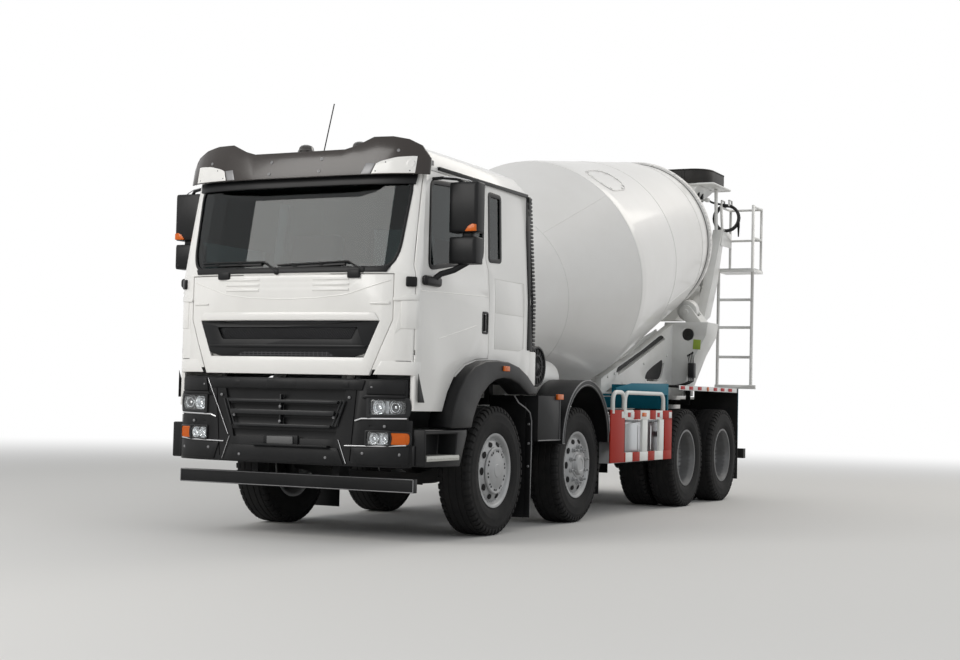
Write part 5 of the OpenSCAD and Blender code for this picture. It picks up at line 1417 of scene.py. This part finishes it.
# ---------------------------------------------------------------- rear structure
def pedestal_details():
    """blank label, control levers with their hoses, dark plates painted as the shade in the brace's openings,
    bolts and flanges
    """
    sticker = rounded(slab([(0.765, 1.812), (0.86, 1.806), (0.866, 1.925), (0.772, 1.932)], 1,
                           6.2965, 6.3005), 0.001)
    done("pedestal_label_blank", [sticker], "chassis", LABEL_GREEN)
    parts = [block((0.73, 6.22, 1.46), (0.81, 6.302, 1.64), 0.008)]
    for k, x in enumerate((0.743, 0.763, 0.783, 0.801)):
        parts.append(tube([(x, 6.24, 1.63), (x - 0.004, 6.20, 1.72 + 0.012 * k)], 0.005, 6))
        knob = turned([(-0.014, 0), (-0.012, 0.008), (0, 0.013), (0.012, 0.008), (0.014, 0)],
                      facing((x - 0.004, 6.198, 1.728 + 0.012 * k), (0, -0.3, 1)), 12)
        parts.append(knob)
        hose = [(x, 6.235, 1.47), (x + 0.01, 6.20, 1.42), (x - 0.03, 6.18, 1.39), (x - 0.12, 6.22, 1.37),
                (x - 0.22, 6.30, 1.36)]
        parts.append(tube(hose, 0.008, 8))
    done("control_levers", parts, "chassis", HOSE_RUBBER)
    # dark plates laid in the brace's two openings: painted shade, where the drum's underside darkens them
    dark = [rounded_loop([(4.40, 1.462), (4.44, 1.53), (4.69, 1.60), (5.10, 1.72), (5.76, 1.935),
                          (5.90, 1.962), (6.0, 1.94)], 0.05, 3),
            rounded_loop([(5.33, 1.42), (5.39, 1.50), (5.60, 1.575), (5.95, 1.678), (5.93, 1.54),
                          (5.82, 1.425)], 0.06, 3)]
    plates = [slab(loop, 0, 0.494, 0.5018) for loop in dark]
    done("brace_opening_shades", [both_sides(*plates)], "chassis", CHASSIS_BLACK)
    bolts = [(0.5015, y, z) for y, z in ((4.15, 1.42), (4.6, 1.35), (5.0, 1.35), (5.3, 1.60), (6.1, 1.72),
                                         (6.1, 1.40), (5.2, 1.36), (4.35, 1.46))]
    bolt = turned([(0.01, 0), (0.01, 0.013), (0.002, 0.018), (-0.01, 0.018), (-0.01, 0)], steps=6)
    heads = copies(bolt, [facing(p, (1, 0, 0)) for p in bolts])
    edge_line = [(3.96, 1.402), (4.6, 1.592), (5.17, 1.752), (5.91, 1.992), (6.3, 2.118)]
    lip = []
    for (y0, z0), (y1, z1) in zip(edge_line, edge_line[1:]):
        lip.append(slab([(y0, z0 - 0.004), (y1, z1 - 0.004), (y1, z1 + 0.006), (y0, z0 + 0.006)], 0,
                        0.425, 0.515, 0.002))
    return done("brace_flanges", [both_sides(heads, *lip)], "chassis", FRAME_WHITE)


def hopper_details():
    """rolled rims of the hopper and its guard, stiffening ribs, and two dark blocks in its side painted as
    the shade inside its slots
    """
    parts = []
    rim = [(-0.79, 6.93), (0.79, 6.93), (0.79, 7.68), (-0.79, 7.68)]
    parts.append(tube([(x, y, 3.935) for x, y in rounded_loop(rim, 0.03, 3)], 0.013, 8, closed=True))
    for x in (-0.45, 0.0, 0.45):
        parts.append(slab([(6.965, 3.92), (6.985, 3.92), (6.875, 3.45), (6.845, 3.45)], 0, x - 0.005,
                          x + 0.005, 0.001))
    done("hopper_rims", parts, "chassis", FRAME_WHITE)
    top = [(x, y, 4.119) for x, y in arc((-0.47, 7.15), 0.247, 180, 270, 8)] + \
          [(x, y, 4.119) for x, y in arc((0.47, 7.15), 0.247, -90, 0, 8)] + [(0.716, 7.6, 4.119)]
    path = [(-0.716, 7.6, 4.119)] + top
    bead = tube(path, 0.010, 8)
    low = tube([(x, y, 3.955) for x, y, _ in path], 0.008, 6)
    straps = [block((x - 0.02, 6.893, 3.95), (x + 0.02, 6.903, 4.11), 0.003) for x in (-0.4, 0.0, 0.4)]
    done("hopper_guard_beads", [bead, low] + straps, "chassis", GUARD_RUBBER)
    # dark blocks in the hopper's side: painted shade inside its two slots
    slots = [slab([(y, 3.75), (y + 0.05, 3.75), (y + 0.07, 3.88), (y + 0.02, 3.88)], 0, 0.466, 0.535, 0.004)
             for y in (7.12, 7.28)]
    return done("hopper_slot_shades", slots, "chassis", BLACK_PLASTIC)


def ladder_details():
    """bars of the platform's grating and the non-slip rungs"""
    bars = [tube([(0.705, y, 2.893), (1.185, y, 2.893)], 0.005, 6)
            for y in [7.45 + 0.04 * k for k in range(10)]]
    across = [tube([(x, 7.43, 2.892), (x, 7.845, 2.892)], 0.004, 6)
              for x in [0.76 + 0.09 * k for k in range(5)]]
    grips = [block((0.735, 7.436, z - 0.002), (1.15, 7.464, z + 0.019), 0.003) for z in (1.754, 2.134, 2.49)]
    return done("ladder_treads", bars + across + grips, "chassis", DECK_GREY)


def tail_lamps():
    """lenses, the striped underrun bar and the blank rear plate"""

    def lens(x0, x1, name, material):
        parts = [block((x0, 6.8965, 0.967), (x1, 6.905, 1.073), 0.003)]
        parts += [block((x0 + 0.004, 6.903, z), (x1 - 0.004, 6.907, z + 0.004), 0.001)
                  for z in (0.985, 1.005, 1.025, 1.045)]
        done(name, [both_sides(*parts)], "chassis", material)

    lens(1.10, 1.156, "tail_turn_lenses", AMBER)
    lens(1.03, 1.096, "tail_stop_lenses", TAIL_RED)
    lens(0.984, 1.026, "tail_reverse_lenses", LAMP_GLASS)
    red = [block((x, 7.2095, 0.488), (x + 0.15, 7.2125, 0.592), 0.001)
           for x in [-1.17 + 0.31 * k for k in range(8)]]
    done("underrun_red_tape", red, "chassis", TAPE_RED)
    white = [block((x + 0.155, 7.2095, 0.488), (min(1.17, x + 0.305), 7.2125, 0.592), 0.001)
             for x in [-1.17 + 0.31 * k for k in range(8)] if x + 0.155 < 1.16]
    done("underrun_white_tape", white, "chassis", REFLECT_SILVER)
    plate = [block((-0.26, 7.2125, 0.62), (0.26, 7.224, 0.76), 0.004),
             block((-0.03, 7.19, 0.598), (0.03, 7.214, 0.63), 0.003)]
    return done("rear_plate_blank", plate, "chassis", PLATE_GREY)


def build_pieces():
    wash_hose()
    hose_hooks()
    for row in EASED:
        softened(*row)
    # the beacons and wipers are modelled anew in their places
    without(bpy.data.objects["cab_fitting_mouldings"],
            [((-0.34, -0.98, 3.12), (0.34, -0.82, 3.26)), ((-0.9, -1.58, 2.03), (0.9, -1.47, 2.24))])
    rear_fittings()
    screen_surround()
    visor_corner_lamps()
    visor_screws()
    roof_beacons()
    wipers()
    corner_ledges()
    flap_face()
    grille()
    bumper_panels()
    bumper_slats()
    bumper_trim()
    bumper_bolts()
    head_lamps()
    number_plate()
    lower_bar()
    done("slim_window_seals", [both_sides(side_seal(SLIM_WINDOW, 0.03))], "cab",
         BLACK_PLASTIC)
    for name, make, material, slot in DOOR_PIECES:
        on_each_door(name, make, material)
    for side in ("left", "right"):
        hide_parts(f"mirror_{side}")
    steps_and_arch()
    intake_wheel()
    side_guards()
    guard_squares()
    tank_details()
    deck_strip()
    tyres()
    wheel_faces()
    drum_seams()
    manhole_bolts()
    drum_blades()
    pedestal_details()
    hopper_details()
    ladder_details()
    tail_lamps()


make_camera()
make_studio()
dress_nodes()
build_pieces()
